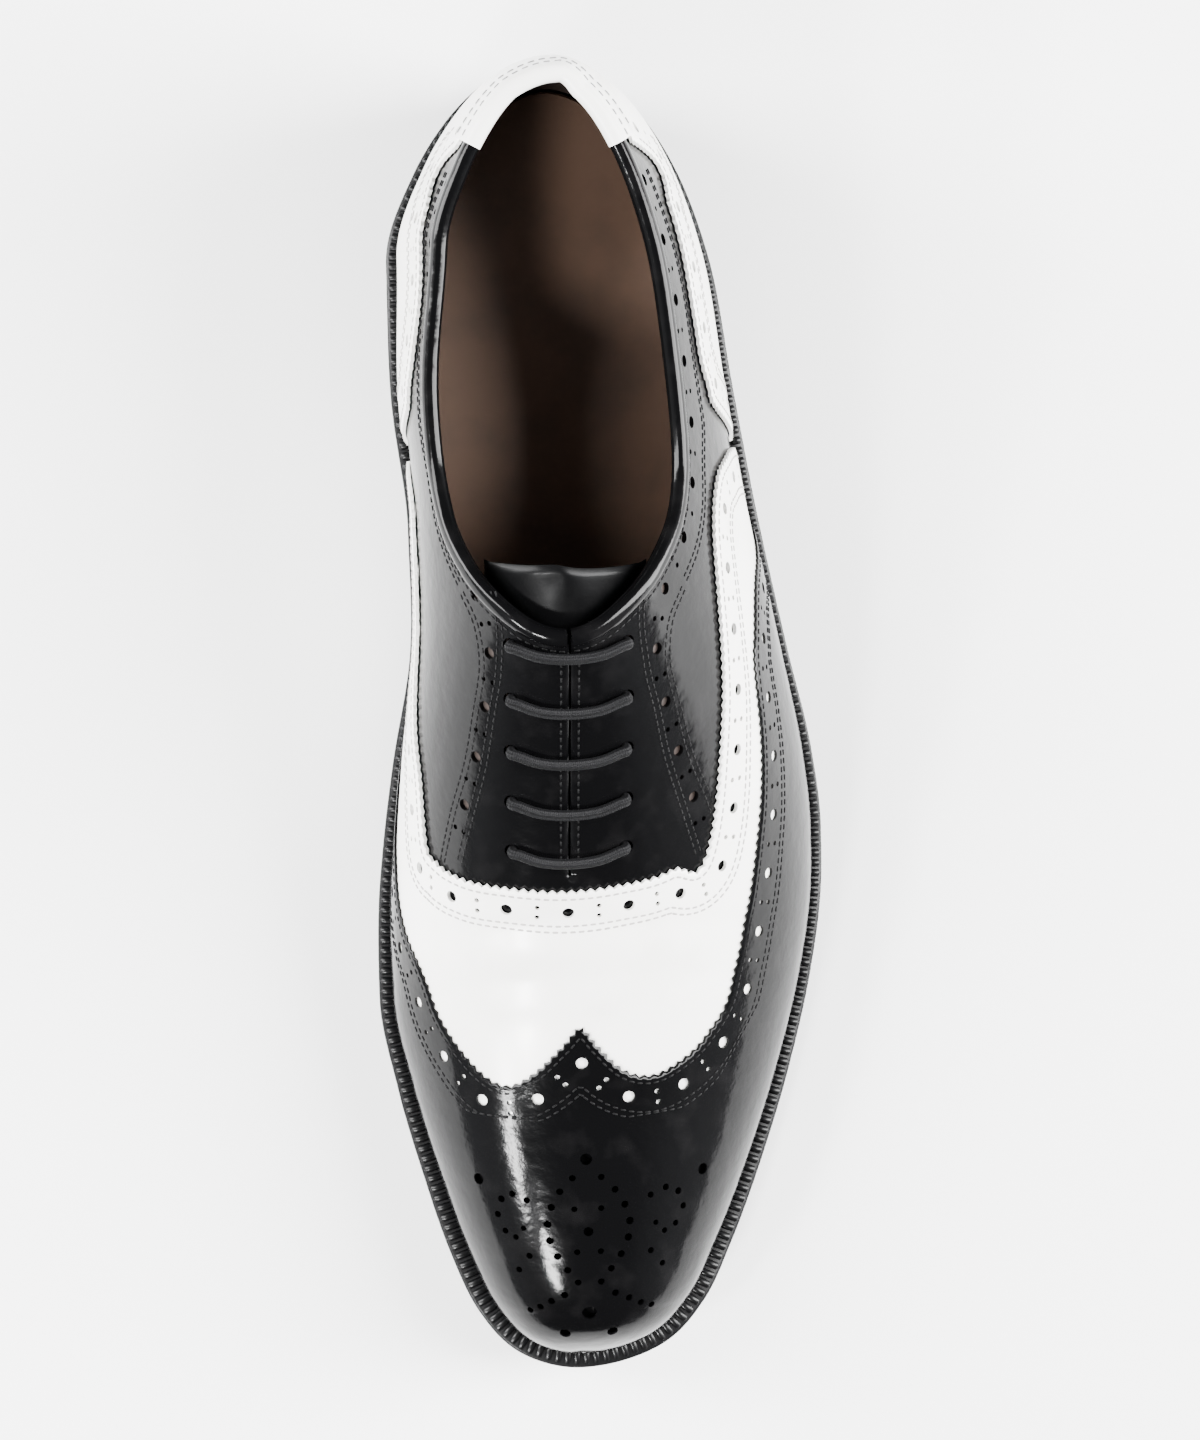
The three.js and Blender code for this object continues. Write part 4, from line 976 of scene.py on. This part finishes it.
def tube(name, points, marks, radius, sides=14):
    """Round cord along points. Its frame is carried from point to point without twisting."""
    tangent = unit(np.gradient(points, axis=0))
    frame_side = [np.cross(tangent[0], (0.0, 1.0, 0.0))]
    for t in tangent[1:]:
        last_side = frame_side[-1]
        frame_side.append(unit(last_side - t * dot(last_side, t)))
    side = unit(np.array(frame_side))
    other = np.cross(tangent, side)
    angle = 2 * np.pi * np.arange(sides) / sides
    rings = points[:, None] + radius * (np.cos(angle)[None, :, None] * side[:, None]
                                        + np.sin(angle)[None, :, None] * other[:, None])
    count = len(points)
    faces = grid_faces(count, sides, wrap_columns=True).tolist()
    faces += [list(range(sides))[::-1], [(count - 1) * sides + k for k in range(sides)]]
    uv = np.stack([np.tile(angle / (2 * np.pi), count), np.repeat(marks, sides)], -1)
    return mesh_object(name, rings.reshape(-1, 3), faces, sharp=60, uv=uv)


def linear(colour):
    """sRGB colour as linear light: c / 12.92 below 0.04045, else ((c + 0.055) / 1.055) ** 2.4."""
    c = np.array(colour, float)
    return tuple(np.where(c <= 0.04045, c / 12.92, ((c + 0.055) / 1.055) ** 2.4)) + (1.0,)


def add_node(owner, kind, values=None, **settings):
    """Adds a node to a material or a world, sets its settings, and sets or links its inputs."""
    made = owner.node_tree.nodes.new(kind)
    for name, value in settings.items():
        setattr(made, name, value)
    for name, value in (values or {}).items():
        if isinstance(value, bpy.types.NodeSocket):
            owner.node_tree.links.new(value, made.inputs[name])
        else:
            made.inputs[name].default_value = value
    return made


def surface(name, colour, roughness, bumps, coat=0.0, coat_roughness=0.1, wear=None, specular=0.5):
    """Material with noise bumps of (scale per metre, height in metres, strength), in object coordinates.

    wear: (second colour, scale per metre, low, high, share) mixes a colour in where a noise is high.
    """
    material = bpy.data.materials.new(name)
    material.use_nodes = True
    tree = material.node_tree
    shader = tree.nodes["Principled BSDF"]
    place = add_node(material, "ShaderNodeTexCoord").outputs["Object"]
    shader.inputs["Roughness"].default_value = roughness
    shader.inputs["Coat Weight"].default_value = coat
    shader.inputs["Coat Roughness"].default_value = coat_roughness
    shader.inputs["Specular IOR Level"].default_value = specular
    shader.inputs["Base Color"].default_value = linear(colour)
    if wear:
        second, scale, low, high, share = wear
        noise = add_node(material, "ShaderNodeTexNoise", {"Vector": place, "Scale": scale, "Detail": 5.0})
        ramp = add_node(material, "ShaderNodeMapRange", {"Value": noise.outputs["Fac"], "From Min": low,
                                                         "From Max": high, "To Min": 0.0, "To Max": share})
        mix = add_node(material, "ShaderNodeMix", data_type="RGBA")
        mix.inputs[6].default_value = linear(colour)
        mix.inputs[7].default_value = linear(second)
        tree.links.new(ramp.outputs["Result"], mix.inputs[0])
        tree.links.new(mix.outputs[2], shader.inputs["Base Color"])
    normal = None
    for scale, height, strength in bumps:
        noise = add_node(material, "ShaderNodeTexNoise", {"Vector": place, "Scale": scale, "Detail": 3.0})
        values = {"Height": noise.outputs["Fac"], "Distance": height, "Strength": strength}
        if normal:
            values["Normal"] = normal
        normal = add_node(material, "ShaderNodeBump", values).outputs["Normal"]
    if normal:
        tree.links.new(normal, shader.inputs["Normal"])
    return material


def black_calf(colours):
    """Polished black calf: a clear wax coat over a fine grain, with faint waves pulled in over the last."""
    return surface("black_calf_leather", colours.black, 0.14, [(2600, 2e-5, 0.15), (250, 2.2e-4, 0.55)],
                   coat=0.02, coat_roughness=0.05, specular=0.11,
                   wear=((0.06, 0.058, 0.06), 130, 0.52, 0.75, 0.6))


def white_calf(colours):
    """White calf: smooth and closed, with a low gloss and very faint shading."""
    return surface("white_calf_leather", colours.white, 0.34, [(2200, 2e-5, 0.3), (150, 1.5e-4, 0.1)],
                   coat=0.25, coat_roughness=0.2, wear=((0.87, 0.86, 0.83), 60, 0.5, 0.8, 0.5))


def edge_dressing(colours):
    """Leather of the sole's edge, welt and heel, inked black and waxed."""
    return surface("edge_dressed_leather", colours.edge, 0.42, [(1500, 3e-5, 0.4)], coat=0.15,
                   coat_roughness=0.2, specular=0.1, wear=((0.08, 0.077, 0.074), 500, 0.5, 0.8, 0.5))


def thread(name, colour):
    """Waxed linen thread."""
    return surface(name, colour, 0.5, [(6000, 3e-5, 0.4)], specular=0.08)


def build_quarters(last, sizes, colours):
    """Quarters and facings: one layer over the whole last below the collar, and the lining under it."""
    lateral, medial = last.collar_line(1), last.collar_line(-1)
    lateral[0, 0] = medial[0, 0] = 0.0
    low = np.linspace(lateral[-1, 0] + 0.006, turn_of(SLOT_END), 60)
    slot = [np.stack([low, last.girth_beside(low, side * SLOT / 2)], -1) for side in (1, -1)]
    start = abs(lateral[0, 1])
    medial[0, 1] = -start
    outline = border(
        last.paced(lateral, 1.4), slot[0], slot[1][::-1], last.paced(medial, 1.4)[::-1],
        upright(0, -start, -1)[1:], level(0, np.pi, -1)[1:], upright(np.pi, -1, 1)[1:],
        level(np.pi, 0, 1)[1:], upright(0, 1, start)[1:-1],
    )
    holes = [last.circle(place, EYELET, 14) for place in eyelets(last, sizes)]
    rings = [last.beside(line, 0.45) for line in (last.paced(lateral, 1.0), last.paced(medial[::-1], 1.0))]
    lining_net = net(outline, holes, grain=3.5)
    for side in (1, -1):
        row = quarter_row(last, side)
        holes = holes + punched(last, row, sizes, middle=False)
    quarters = panel("quarters", last, net(outline, holes, rings), 0.0, QUARTER)
    finish_piece(quarters, "black_calf", black_calf(colours), "upper")
    lining = panel("lining", last, lining_net, QUARTER - 0.05, LINING, edge=0.0)
    # Vegetable-tanned lining leather: dark brown, matt, darker in patches
    material = surface("lining_calf_leather", colours.lining, 0.62, [(1800, 3e-5, 0.4)],
                       wear=((0.2, 0.14, 0.11), 90, 0.45, 0.8, 0.6))
    finish_piece(lining, "lining_leather", material)


def eyelets(last, sizes):
    """Places of the lace holes, row by row, medial then lateral."""
    turn = np.repeat(turn_of((LACING["top"] + np.arange(sizes.eyelet_rows) * LACING["pitch"]) / last.length), 2)
    side = np.tile([-1.0, 1.0], sizes.eyelet_rows)
    return np.stack([turn, last.girth_beside(turn, side * LACING["spread"] / 2)], -1)


def build_vamp(last, sizes, colours):
    """Vamp: from its gimped back edge to well under the cap, so that white shows through the cap's holes."""
    back = seam(VAMP_EDGE)
    girth = np.linspace(-1, 1, 200)
    reach = np.linspace(-0.13, 0.13, 27)
    front = read(CAP_EDGE, "at", np.clip(girth[:, None] + reach[None], -1, 1), key="girth").max(1) + 0.045
    front = np.stack([turn_of(front), girth], -1)
    outline = border(
        last.gimped(back), level(back[-1, 0], front[0, 0], -1)[1:-1], last.paced(front, 2.0),
        level(front[-1, 0], back[0, 0], 1)[1:-1],
    )
    holes = punched(last, last.beside(back, ROW), sizes)
    made = net(outline, holes, [last.beside(last.paced(back, 1.0), RING)])
    vamp = panel("vamp_panel", last, made, VAMP, 0.3)
    finish_piece(vamp, "white_calf", white_calf(colours), "vamp")


def build_cap(last, sizes, colours):
    """Wing cap: gimped along the wings, punched along them, and with a medallion over the toe."""
    back = seam(CAP_EDGE)
    outline = border(last.gimped(back), level(back[-1, 0], np.pi, -1)[1:], upright(np.pi, -1, 1)[1:],
                     level(np.pi, back[0, 0], 1)[1:-1])
    holes = punched(last, last.beside(back, ROW), sizes)
    for at, girth, size in zip(*(MEDALLION[name] for name in ("at", "girth", "size"))):
        sides = (1, -1) if girth else (1,)
        holes += [last.circle(np.array([turn_of(at), side * girth]), size / 2, 10) for side in sides]
    made = net(outline, holes, [last.beside(last.paced(back, 1.0), RING)])
    cap = panel("wing_cap_panel", last, made, CAP, VAMP + 0.1)
    finish_piece(cap, "black_calf", black_calf(colours), "wing_cap")


def build_counter(last, sizes, colours):
    """Heel counter: two halves that meet at the back of the heel."""
    halves, front = [], turn_of(COUNTER_END)
    for side in (1, -1):
        edge = counter_seam(last, side)
        start = abs(edge[0, 1])
        line = edge if side > 0 else edge[::-1]
        toothed = last.gimped(line)
        ring = last.beside(last.paced(line, 1.0), RING)
        holes = punched(last, last.beside(line[np.abs(line[:, 0]) > turn_of(0.06)], ROW), sizes, middle=False)
        if side > 0:
            outline = border(toothed, upright(front, COUNTER_LOW, 1)[1:], level(front, 0, 1)[1:],
                             upright(0, 1, start)[1:-1])
        else:
            outline = border(level(0, front, -1), upright(front, -1, -COUNTER_LOW)[1:-1], toothed,
                             upright(0, -start, -1)[1:-1])
        halves.append(net(outline, holes, [ring[ring[:, 0] > 0.02]]))
    counter = panel("heel_counter_panel", last, joined(*halves), VAMP, 0.3)
    finish_piece(counter, "white_calf", white_calf(colours), "heel_counter")


def build_collar(last, sizes, colours):
    """Rolled binding along the collar's edge on each side, and the white tab round the back."""
    end = turn_of(TAB_END)
    material = black_calf(colours)
    for side, name in ((1, "lateral"), (-1, "medial")):
        line = last.collar_line(side, 400)
        part = last.paced(line[line[:, 0] > end], 0.9)
        part = part if side > 0 else part[::-1]
        binding = strip("collar_binding_" + name, last, part, BINDING)
        finish_piece(binding, "black_calf", material, "collar_bead_" + name)
    tab = strip("back_tab_strap", last, back_line(last, end + 0.01)[::2], TAB)
    finish_piece(tab, "white_calf", white_calf(colours), "back_tab")


def build_tongue(last, sizes, colours):
    """Tongue: a flap under the facings with a hollowed upper edge, raised where the vamp holds it."""
    down, across = np.linspace(0, 1, 90), np.linspace(-1, 1, 60)
    u, v = np.meshgrid(across, down)
    top = TONGUE["top"] - 0.013 * u**2 - 0.02 * np.maximum(np.abs(u) - 0.93, 0)
    share = top + (TONGUE["root"] - top) * v
    turn = turn_of(share)
    girth = last.girth_beside(turn, TONGUE["half"] * u)
    rooted = np.clip((share - SLOT_END) / (TONGUE["root"] - SLOT_END), 0, 1)
    root = rooted**2 * (3 - 2 * rooted)
    out = TONGUE["depth"] * (1 - root) + TONGUE["seat"] * root
    edge = np.minimum(np.minimum(1 - np.abs(u), 2 * v) / 0.04, 1)
    thin = 0.9 * (1 - np.sqrt(1 - (1 - edge) ** 2))
    places = np.stack([turn, girth], -1)
    wrinkle = 0.25 * np.sin(9 * u + 3 * v) * np.exp(-(((v - 0.04) / 0.05) ** 2))
    layers = [last.shell(places, out + wrinkle - thin),
              last.shell(places, out + wrinkle - TONGUE["thick"] + thin)]
    rows, wide = u.shape
    points = np.concatenate([layer.reshape(-1, 3) for layer in layers])
    top_faces = grid_faces(rows, wide)
    loop = np.concatenate([np.arange(wide), wide * np.arange(1, rows) + wide - 1,
                           (rows - 1) * wide + np.arange(wide - 1)[::-1], wide * np.arange(1, rows - 1)[::-1]])
    after, under = np.roll(loop, -1), rows * wide
    wall = np.stack([after, loop, loop + under, after + under], -1)
    faces = np.concatenate([top_faces, top_faces[:, ::-1] + under, wall])
    tongue = mesh_object("tongue_flap", points, faces.tolist(), sharp=70)
    # Soft unpolished black calf: open grain, nearly matt
    material = surface("soft_black_calf_leather", colours.black, 0.4, [(2000, 3e-5, 0.4), (400, 2e-4, 0.25)],
                       coat=0.03, coat_roughness=0.2, specular=0.06,
                       wear=((0.05, 0.05, 0.05), 200, 0.5, 0.8, 0.5))
    finish_piece(tongue, "black_calf", material, "tongue")


def lace_points(last, rows):
    """Points that the lace runs through: over the facings, down an eyelet, and under to the next row."""
    bend, sag = LACING["turn"], LACING["sag"]
    points = [(0, -1, 0, 0, LACING["under"])]
    for row in range(rows):
        side = 1 if row % 2 else -1
        entry = [(0, 0, -1.0), (0.3 * bend, 0, 0.7 * bend), (1.3 * bend, 0.1 * sag, bend)]
        points += [(row, side, *step) for step in entry]
        points += [(row, side, LACING["spread"] * t, 4 * sag * t * (1 - t), bend) for t in (0.25, 0.5, 0.75)]
        points += [(row, -side, *step) for step in entry[::-1]]
        under = [(0, 0.45, 0.85 * LACING["under"]), (0, 1.8, LACING["under"]), (0, 5.6, LACING["under"]),
                 (0, 9.4, LACING["under"]), (0, 10.75, 0.85 * LACING["under"])]
        if row == rows - 1:
            under = [(0, 0, LACING["under"])]
        points += [(row, -side, *step) for step in under]
    row, side, inward, ahead, out = np.array(points, float).T
    turn = turn_of((LACING["top"] + row * LACING["pitch"] + ahead) / last.length)
    girth = last.girth_beside(turn, side * (LACING["spread"] / 2 - inward))
    return last.shell(np.stack([turn, girth], -1), out)


def build_lace(last, sizes, colours):
    """Waxed cotton lace, round, in straight bars over the facings."""
    points, marks = through(lace_points(last, sizes.eyelet_rows), 0.45)
    lace = tube("waxed_lace", points, marks, sizes.lace / MM / 2)
    # Braided and waxed cotton: dull black, with a fine diamond weave along the cord
    material = bpy.data.materials.new("waxed_cotton_cord")
    material.use_nodes = True
    shader = material.node_tree.nodes["Principled BSDF"]
    uv = add_node(material, "ShaderNodeUVMap", uv_map="UVMap").outputs["UV"]
    heights = []
    for sign in (1, -1):
        scale = (sign * 4.0, 1.1, 1.0)  # four strands round the cord, and 1.1 crossings a millimetre along it
        turned = add_node(material, "ShaderNodeMapping", {"Vector": uv, "Scale": scale}).outputs["Vector"]
        parts = add_node(material, "ShaderNodeSeparateXYZ", {"Vector": turned}).outputs
        total = add_node(material, "ShaderNodeMath", {0: parts["X"], 1: parts["Y"]}, operation="ADD").outputs[0]
        angle = add_node(material, "ShaderNodeMath", {0: total, 1: 2 * np.pi}, operation="MULTIPLY").outputs[0]
        heights.append(add_node(material, "ShaderNodeMath", {0: angle}, operation="SINE").outputs[0])
    weave = add_node(material, "ShaderNodeMath", dict(enumerate(heights)), operation="MULTIPLY").outputs[0]
    bump = add_node(material, "ShaderNodeBump", {"Height": weave, "Distance": 1.2e-4, "Strength": 0.9})
    material.node_tree.links.new(bump.outputs["Normal"], shader.inputs["Normal"])
    shader.inputs["Base Color"].default_value = linear(colours.lace)
    shader.inputs["Roughness"].default_value = 0.6
    shader.inputs["Specular IOR Level"].default_value = 0.08
    finish_piece(lace, "lace_cotton", material, "lace")


def welt_ribs(last, sizes):
    """Ribs across the welt's upper face: beads that point out of the shoe, at an even pitch along its edge."""
    turn, parts = np.linspace(0, np.pi, 2000), []
    for side in (1.0, -1.0):
        path = length_along(last.welt_edge(turn, side))
        count = int(path[-1] / (sizes.rib_pitch / MM))
        marks = np.interp((np.arange(count) + 0.5) * path[-1] / count, path, turn)
        start, end = 0.35, 0.8 * (last.REVEAL * read(OUTLINE, "reveal", share_of(marks)) - last.SOLE_GAP)
        out = last.welt_out(marks, side)
        middle = last.welt_edge(marks, side) - out * ((start + end) / 2)[:, None]
        parts.append((np.column_stack([middle, last.under(middle[:, 1]) + last.foot]),
                      np.column_stack([out, np.zeros(count)]),
                      np.tile([0.0, 0.0, 1.0], (count, 1)), end - start))
    centres, along, normals, lengths = (np.concatenate(column) for column in zip(*parts))
    return beads("welt_ribs", centres, along, normals, lengths, sizes.rib_pitch / MM * 0.4, 0.62)


def build_bottom(last, sizes, colours):
    """Welt with its ribs, outsole, and the sock over the insole."""
    dressing = edge_dressing(colours)
    low, high = last.SOLE + last.SOLE_GAP, last.foot
    profile = ((1, 0, low), (0, 0.7, low), (0, 0.2, low + 0.25), (0, 0, low + 0.8), (0, 0, high - 0.7),
               (0, 0.18, high - 0.25), (0, 0.6, high), (1, 0, high))
    finish_piece(round_band("welt_strip", last, profile), "welt_leather", dressing, "welt")
    finish_piece(welt_ribs(last, sizes), "welt_leather", dressing)
    step = 0.6  # of the sole, in from the welt's edge
    sole = ((step + 1.2, 0), (step + 0.5, 0.12), (step + 0.1, 0.6), (step, 1.3), (step, 4.6), (step + 0.3, 5))
    finish_piece(rings_across("sole", last, sole), "welt_leather", dressing, "outsole")

    def room(turn):
        return last.REVEAL * read(OUTLINE, "reveal", share_of(turn)) + last.WALL + 0.4

    sock = ((room, low), (room, low + 2.1), (lambda turn: room(turn) + 0.5, low + 2.5))
    # Undyed lining leather, dull from wear, with darker patches where the foot stands
    lining = surface("sock_lining_leather", (0.33, 0.24, 0.18), 0.6, [(1500, 3e-5, 0.4)],
                     wear=((0.22, 0.16, 0.12), 40, 0.45, 0.75, 0.7))
    finish_piece(rings_across("sock", last, sock), "lining_leather", lining, "insole")


def build_heel(last, sizes, colours):
    """Heel: a rubber top piece, and leather lifts with shallow grooves between them."""
    # Moulded black rubber: matt, with a fine pebble
    rubber = surface("heel_rubber_black", (0.11, 0.11, 0.11), 0.75, [(1200, 4e-5, 0.5)])

    def inset(height):
        return 1 + 2 * (1 - height / last.heel)

    def flat(height):
        return lambda y: np.full(len(y), float(height))

    base = TOP_PIECE + JOINT

    def lift(share):
        return lambda y: base + (last.under(y) - last.SOLE_GAP - base) * share

    piece = [(0, 0.8), (0.3, 0.25), (0.8, 0), (TOP_PIECE - 0.3, 0), (TOP_PIECE, 0.15)]
    rings = [(flat(height), inset(height) + more) for height, more in piece]
    finish_piece(stack("heel_top_lift", last, rings), "heel_rubber", rubber, "heel_top_piece")
    levels = [0, 0.03, 0.3, 0.33, 0.36, 0.63, 0.66, 0.69, 1]
    grooves = [0.12, 0, 0, 0.2, 0, 0, 0.2, 0, 0]
    rings = [(lift(share), inset(base + 18 * share) + deep) for share, deep in zip(levels, grooves)]
    finish_piece(stack("heel_lifts", last, rings), "welt_leather", edge_dressing(colours), "heel_stack")


def tab_stitches(last):
    """Two rows of longer stitches along the back tab: beads at an even pitch on lines just over its face."""
    line, parts = back_line(last, turn_of(TAB_END)), []
    for into in (8.2, 2.6):
        places = lowered(last, line, into)
        points = last.shell(places, TAB_FACE + 0.03)
        path = length_along(points)
        marks = np.arange(1.0, path[-1], 2.4)
        run = unit(np.gradient(points, axis=0))
        parts.append((between(marks, path, points), unit(between(marks, path, run)),
                      unit(between(marks, path, last.out(*places.T)))))
    centres, along, normals = (np.concatenate(column) for column in zip(*parts))
    return beads("stitches_tab", centres, along, normals, np.full(len(centres), 1.6), 0.26)


def build_seams(last, sizes, colours):
    """Stitches: grey-white on the white panels, black on the black ones."""
    vamp, cap = seam(VAMP_EDGE), seam(CAP_EDGE)
    white, black = [], []
    for distance in SEAM_ROWS:
        white.append((last.beside(vamp, distance), VAMP))
        black.append((last.beside(cap, distance), CAP))
    for side in (1, -1):
        edge = counter_seam(last, side)
        edge = edge[edge[:, 0] > turn_of(TAB_END) + 0.03]
        edge = edge if side > 0 else edge[::-1]
        white += [(last.beside(edge, distance), VAMP) for distance in SEAM_ROWS]
        for line in (facing_seam("inner", side), facing_seam("outer", side), collar_seam(side)):
            black += [(last.beside(line, distance), 0.0) for distance in (-0.7, 0.7)]
        turn = turn_of(np.linspace(0.45, 0.607, 90))
        black.append((np.stack([turn, last.girth_beside(turn, side * 1.9)], -1), 0.0))
        collar = last.collar_line(side, 400)
        collar = collar[collar[:, 0] > turn_of(TAB_END) + 0.02]
        collar = collar if side > 0 else collar[::-1]
        black.append((last.beside(collar, 4.2), 0.0))
    finish_piece(stitches("stitches_white", last, white, sizes), "white_calf",
                 thread("grey_linen_thread", (0.62, 0.61, 0.6)))
    finish_piece(stitches("stitches_black", last, black, sizes), "black_calf",
                 thread("black_linen_thread", (0.05, 0.05, 0.052)))
    finish_piece(tab_stitches(last), "white_calf", thread("grey_tab_thread", (0.5, 0.5, 0.5)))


# Camera, in millimetres. roll and view: degrees, view over the height of the picture.
CAMERA = {"place": (-53.66, 1.0, 800.0), "aim": (-1.0, 0.0, 40.0), "roll": 1.9, "view": 24.2}
# Lights: place and aim in millimetres, size in metres, power in watts
LIGHTS = {
    "large_soft_light": ((950, 60, 520), (0, 0, 20), (0.5, 1.4), 105.0),
    "rear_soft_light": ((-950, 300, 520), (0, 0, 20), (0.4, 1.2), 58.0),
    "toe_light": ((-640, -420, 620), (-24, -96, 43), (0.14, 0.1), 11.0),
    "toe_tip_light": ((-410, -600, 690), (-16, -120, 42), (0.16, 0.1), 14.0),
}


def build_stage(last, sizes, colours):
    """Floor, lights and the camera, which looks down as the photograph does."""
    mesh = bpy.data.meshes.new("floor")
    reach = 6  # metres
    corners = [(-reach, -reach, 0), (reach, -reach, 0), (reach, reach, 0), (-reach, reach, 0)]
    mesh.from_pydata(corners, [], [(0, 1, 2, 3)])
    floor = bpy.data.objects.new("floor", mesh)
    # Matt painted board, without a reflection
    floor.data.materials.append(surface("studio_floor", colours.floor, 0.9, []))
    bpy.context.scene.collection.objects.link(floor)
    for name, (place, aim, size, power) in LIGHTS.items():
        light = bpy.data.lights.new(name, "AREA")
        light.shape, light.size, light.size_y = "RECTANGLE", *size
        light.energy = power
        lamp = bpy.data.objects.new(name, light)
        place, aim = Vector(place) * MM, Vector(aim) * MM
        turned = (aim - place).to_track_quat("-Z", "Y").to_matrix().to_4x4()
        lamp.matrix_world = Matrix.Translation(place) @ turned
        bpy.context.scene.collection.objects.link(lamp)
    camera = bpy.data.objects.new("camera", bpy.data.cameras.new("camera"))
    bpy.context.scene.collection.objects.link(camera)
    place, aim = Vector(CAMERA["place"]) * MM, Vector(CAMERA["aim"]) * MM
    back = (place - aim).normalized()
    roll = np.radians(CAMERA["roll"])
    right = Vector((np.sin(roll), np.cos(roll), 0)).cross(back).normalized()
    turned = Matrix((right, back.cross(right), back)).transposed().to_4x4()
    camera.matrix_world = Matrix.Translation(place) @ turned
    camera.data.sensor_fit = "VERTICAL"
    camera.data.angle_y = np.radians(CAMERA["view"])
    bpy.context.scene.camera = camera
    world = bpy.data.worlds.new("studio")
    world.use_nodes = True
    place = add_node(world, "ShaderNodeTexCoord").outputs["Generated"]
    across = add_node(world, "ShaderNodeSeparateXYZ", {"Vector": place}).outputs["X"]
    aside = add_node(world, "ShaderNodeMath", {0: across}, operation="ABSOLUTE").outputs[0]
    fade = {"Value": aside, "From Min": 0.45, "From Max": 0.95, "To Min": 0.1, "To Max": 1.3}
    glow = add_node(world, "ShaderNodeMapRange", fade, interpolation_type="SMOOTHSTEP")
    world.node_tree.links.new(glow.outputs["Result"], world.node_tree.nodes["Background"].inputs["Strength"])
    world.node_tree.nodes["Background"].inputs["Color"].default_value = (0.95, 0.97, 1, 1)
    bpy.context.scene.world = world


def scene_values(context):
    """The last, the sizes and the colours that the scene holds."""
    sizes = context.scene.shoe_sizes
    return Last(sizes), sizes, context.scene.shoe_colours


class SHOE_OT_quarters(bpy.types.Operator):
    """Build the quarters with the facings, and the lining under them"""

    bl_idname = "shoe.quarters"
    bl_label = "Quarters and Lining"

    def execute(self, context):
        build_quarters(*scene_values(context))
        return {"FINISHED"}


class SHOE_OT_vamp(bpy.types.Operator):
    """Build the white vamp"""

    bl_idname = "shoe.vamp"
    bl_label = "Vamp"

    def execute(self, context):
        build_vamp(*scene_values(context))
        return {"FINISHED"}


class SHOE_OT_cap(bpy.types.Operator):
    """Build the wing cap with its medallion"""

    bl_idname = "shoe.cap"
    bl_label = "Wing Cap"

    def execute(self, context):
        build_cap(*scene_values(context))
        return {"FINISHED"}


class SHOE_OT_counter(bpy.types.Operator):
    """Build the white heel counter"""

    bl_idname = "shoe.counter"
    bl_label = "Heel Counter"

    def execute(self, context):
        build_counter(*scene_values(context))
        return {"FINISHED"}


class SHOE_OT_collar(bpy.types.Operator):
    """Build the rolled binding of the collar and the back tab"""

    bl_idname = "shoe.collar"
    bl_label = "Binding and Back Tab"

    def execute(self, context):
        build_collar(*scene_values(context))
        return {"FINISHED"}


class SHOE_OT_tongue(bpy.types.Operator):
    """Build the tongue"""

    bl_idname = "shoe.tongue"
    bl_label = "Tongue"

    def execute(self, context):
        build_tongue(*scene_values(context))
        return {"FINISHED"}


class SHOE_OT_lace(bpy.types.Operator):
    """Build the lace"""

    bl_idname = "shoe.lace"
    bl_label = "Lace"

    def execute(self, context):
        build_lace(*scene_values(context))
        return {"FINISHED"}


class SHOE_OT_bottom(bpy.types.Operator):
    """Build the welt with its ribs, the outsole and the sock"""

    bl_idname = "shoe.bottom"
    bl_label = "Welt and Sole"

    def execute(self, context):
        build_bottom(*scene_values(context))
        return {"FINISHED"}


class SHOE_OT_heel(bpy.types.Operator):
    """Build the heel's lifts and its top piece"""

    bl_idname = "shoe.heel"
    bl_label = "Heel"

    def execute(self, context):
        build_heel(*scene_values(context))
        return {"FINISHED"}


class SHOE_OT_seams(bpy.types.Operator):
    """Build the stitches of every panel"""

    bl_idname = "shoe.seams"
    bl_label = "Stitches"

    def execute(self, context):
        build_seams(*scene_values(context))
        return {"FINISHED"}


class SHOE_OT_stage(bpy.types.Operator):
    """Build the floor, the lights and the camera"""

    bl_idname = "shoe.stage"
    bl_label = "Stage"

    def execute(self, context):
        build_stage(*scene_values(context))
        return {"FINISHED"}


OPERATORS = (SHOE_OT_quarters, SHOE_OT_vamp, SHOE_OT_cap, SHOE_OT_counter, SHOE_OT_collar,
             SHOE_OT_tongue, SHOE_OT_lace, SHOE_OT_bottom, SHOE_OT_heel, SHOE_OT_seams, SHOE_OT_stage)


class SHOE_PT_panel(bpy.types.Panel):
    """Sizes, colours and the pieces that can be built."""

    bl_idname = "SHOE_PT_panel"
    bl_label = "Spectator Shoe"
    bl_space_type = "VIEW_3D"
    bl_region_type = "UI"
    bl_category = "Shoe"

    def draw(self, context):
        for group in (context.scene.shoe_sizes, context.scene.shoe_colours):
            for name in group.bl_rna.properties.keys():
                if name not in {"rna_type", "name"}:
                    self.layout.prop(group, name)
        for made in OPERATORS:
            self.layout.operator(made.bl_idname)


CLASSES = (ShoeSizes, ShoeColours, *OPERATORS, SHOE_PT_panel)


def register():
    """Registers the classes and gives the scene its sizes and colours."""
    for made in CLASSES:
        bpy.utils.register_class(made)
    bpy.types.Scene.shoe_sizes = PointerProperty(type=ShoeSizes)
    bpy.types.Scene.shoe_colours = PointerProperty(type=ShoeColours)


def unregister():
    """Takes the classes and the scene's properties away again."""
    del bpy.types.Scene.shoe_sizes
    del bpy.types.Scene.shoe_colours
    for made in reversed(CLASSES):
        bpy.utils.unregister_class(made)


def main():
    """Builds every piece and the stage."""
    register()
    for made in OPERATORS:
        getattr(bpy.ops.shoe, made.bl_idname.split(".")[1])()
    bpy.context.view_layer.update()


if __name__ == "__main__":
    main()
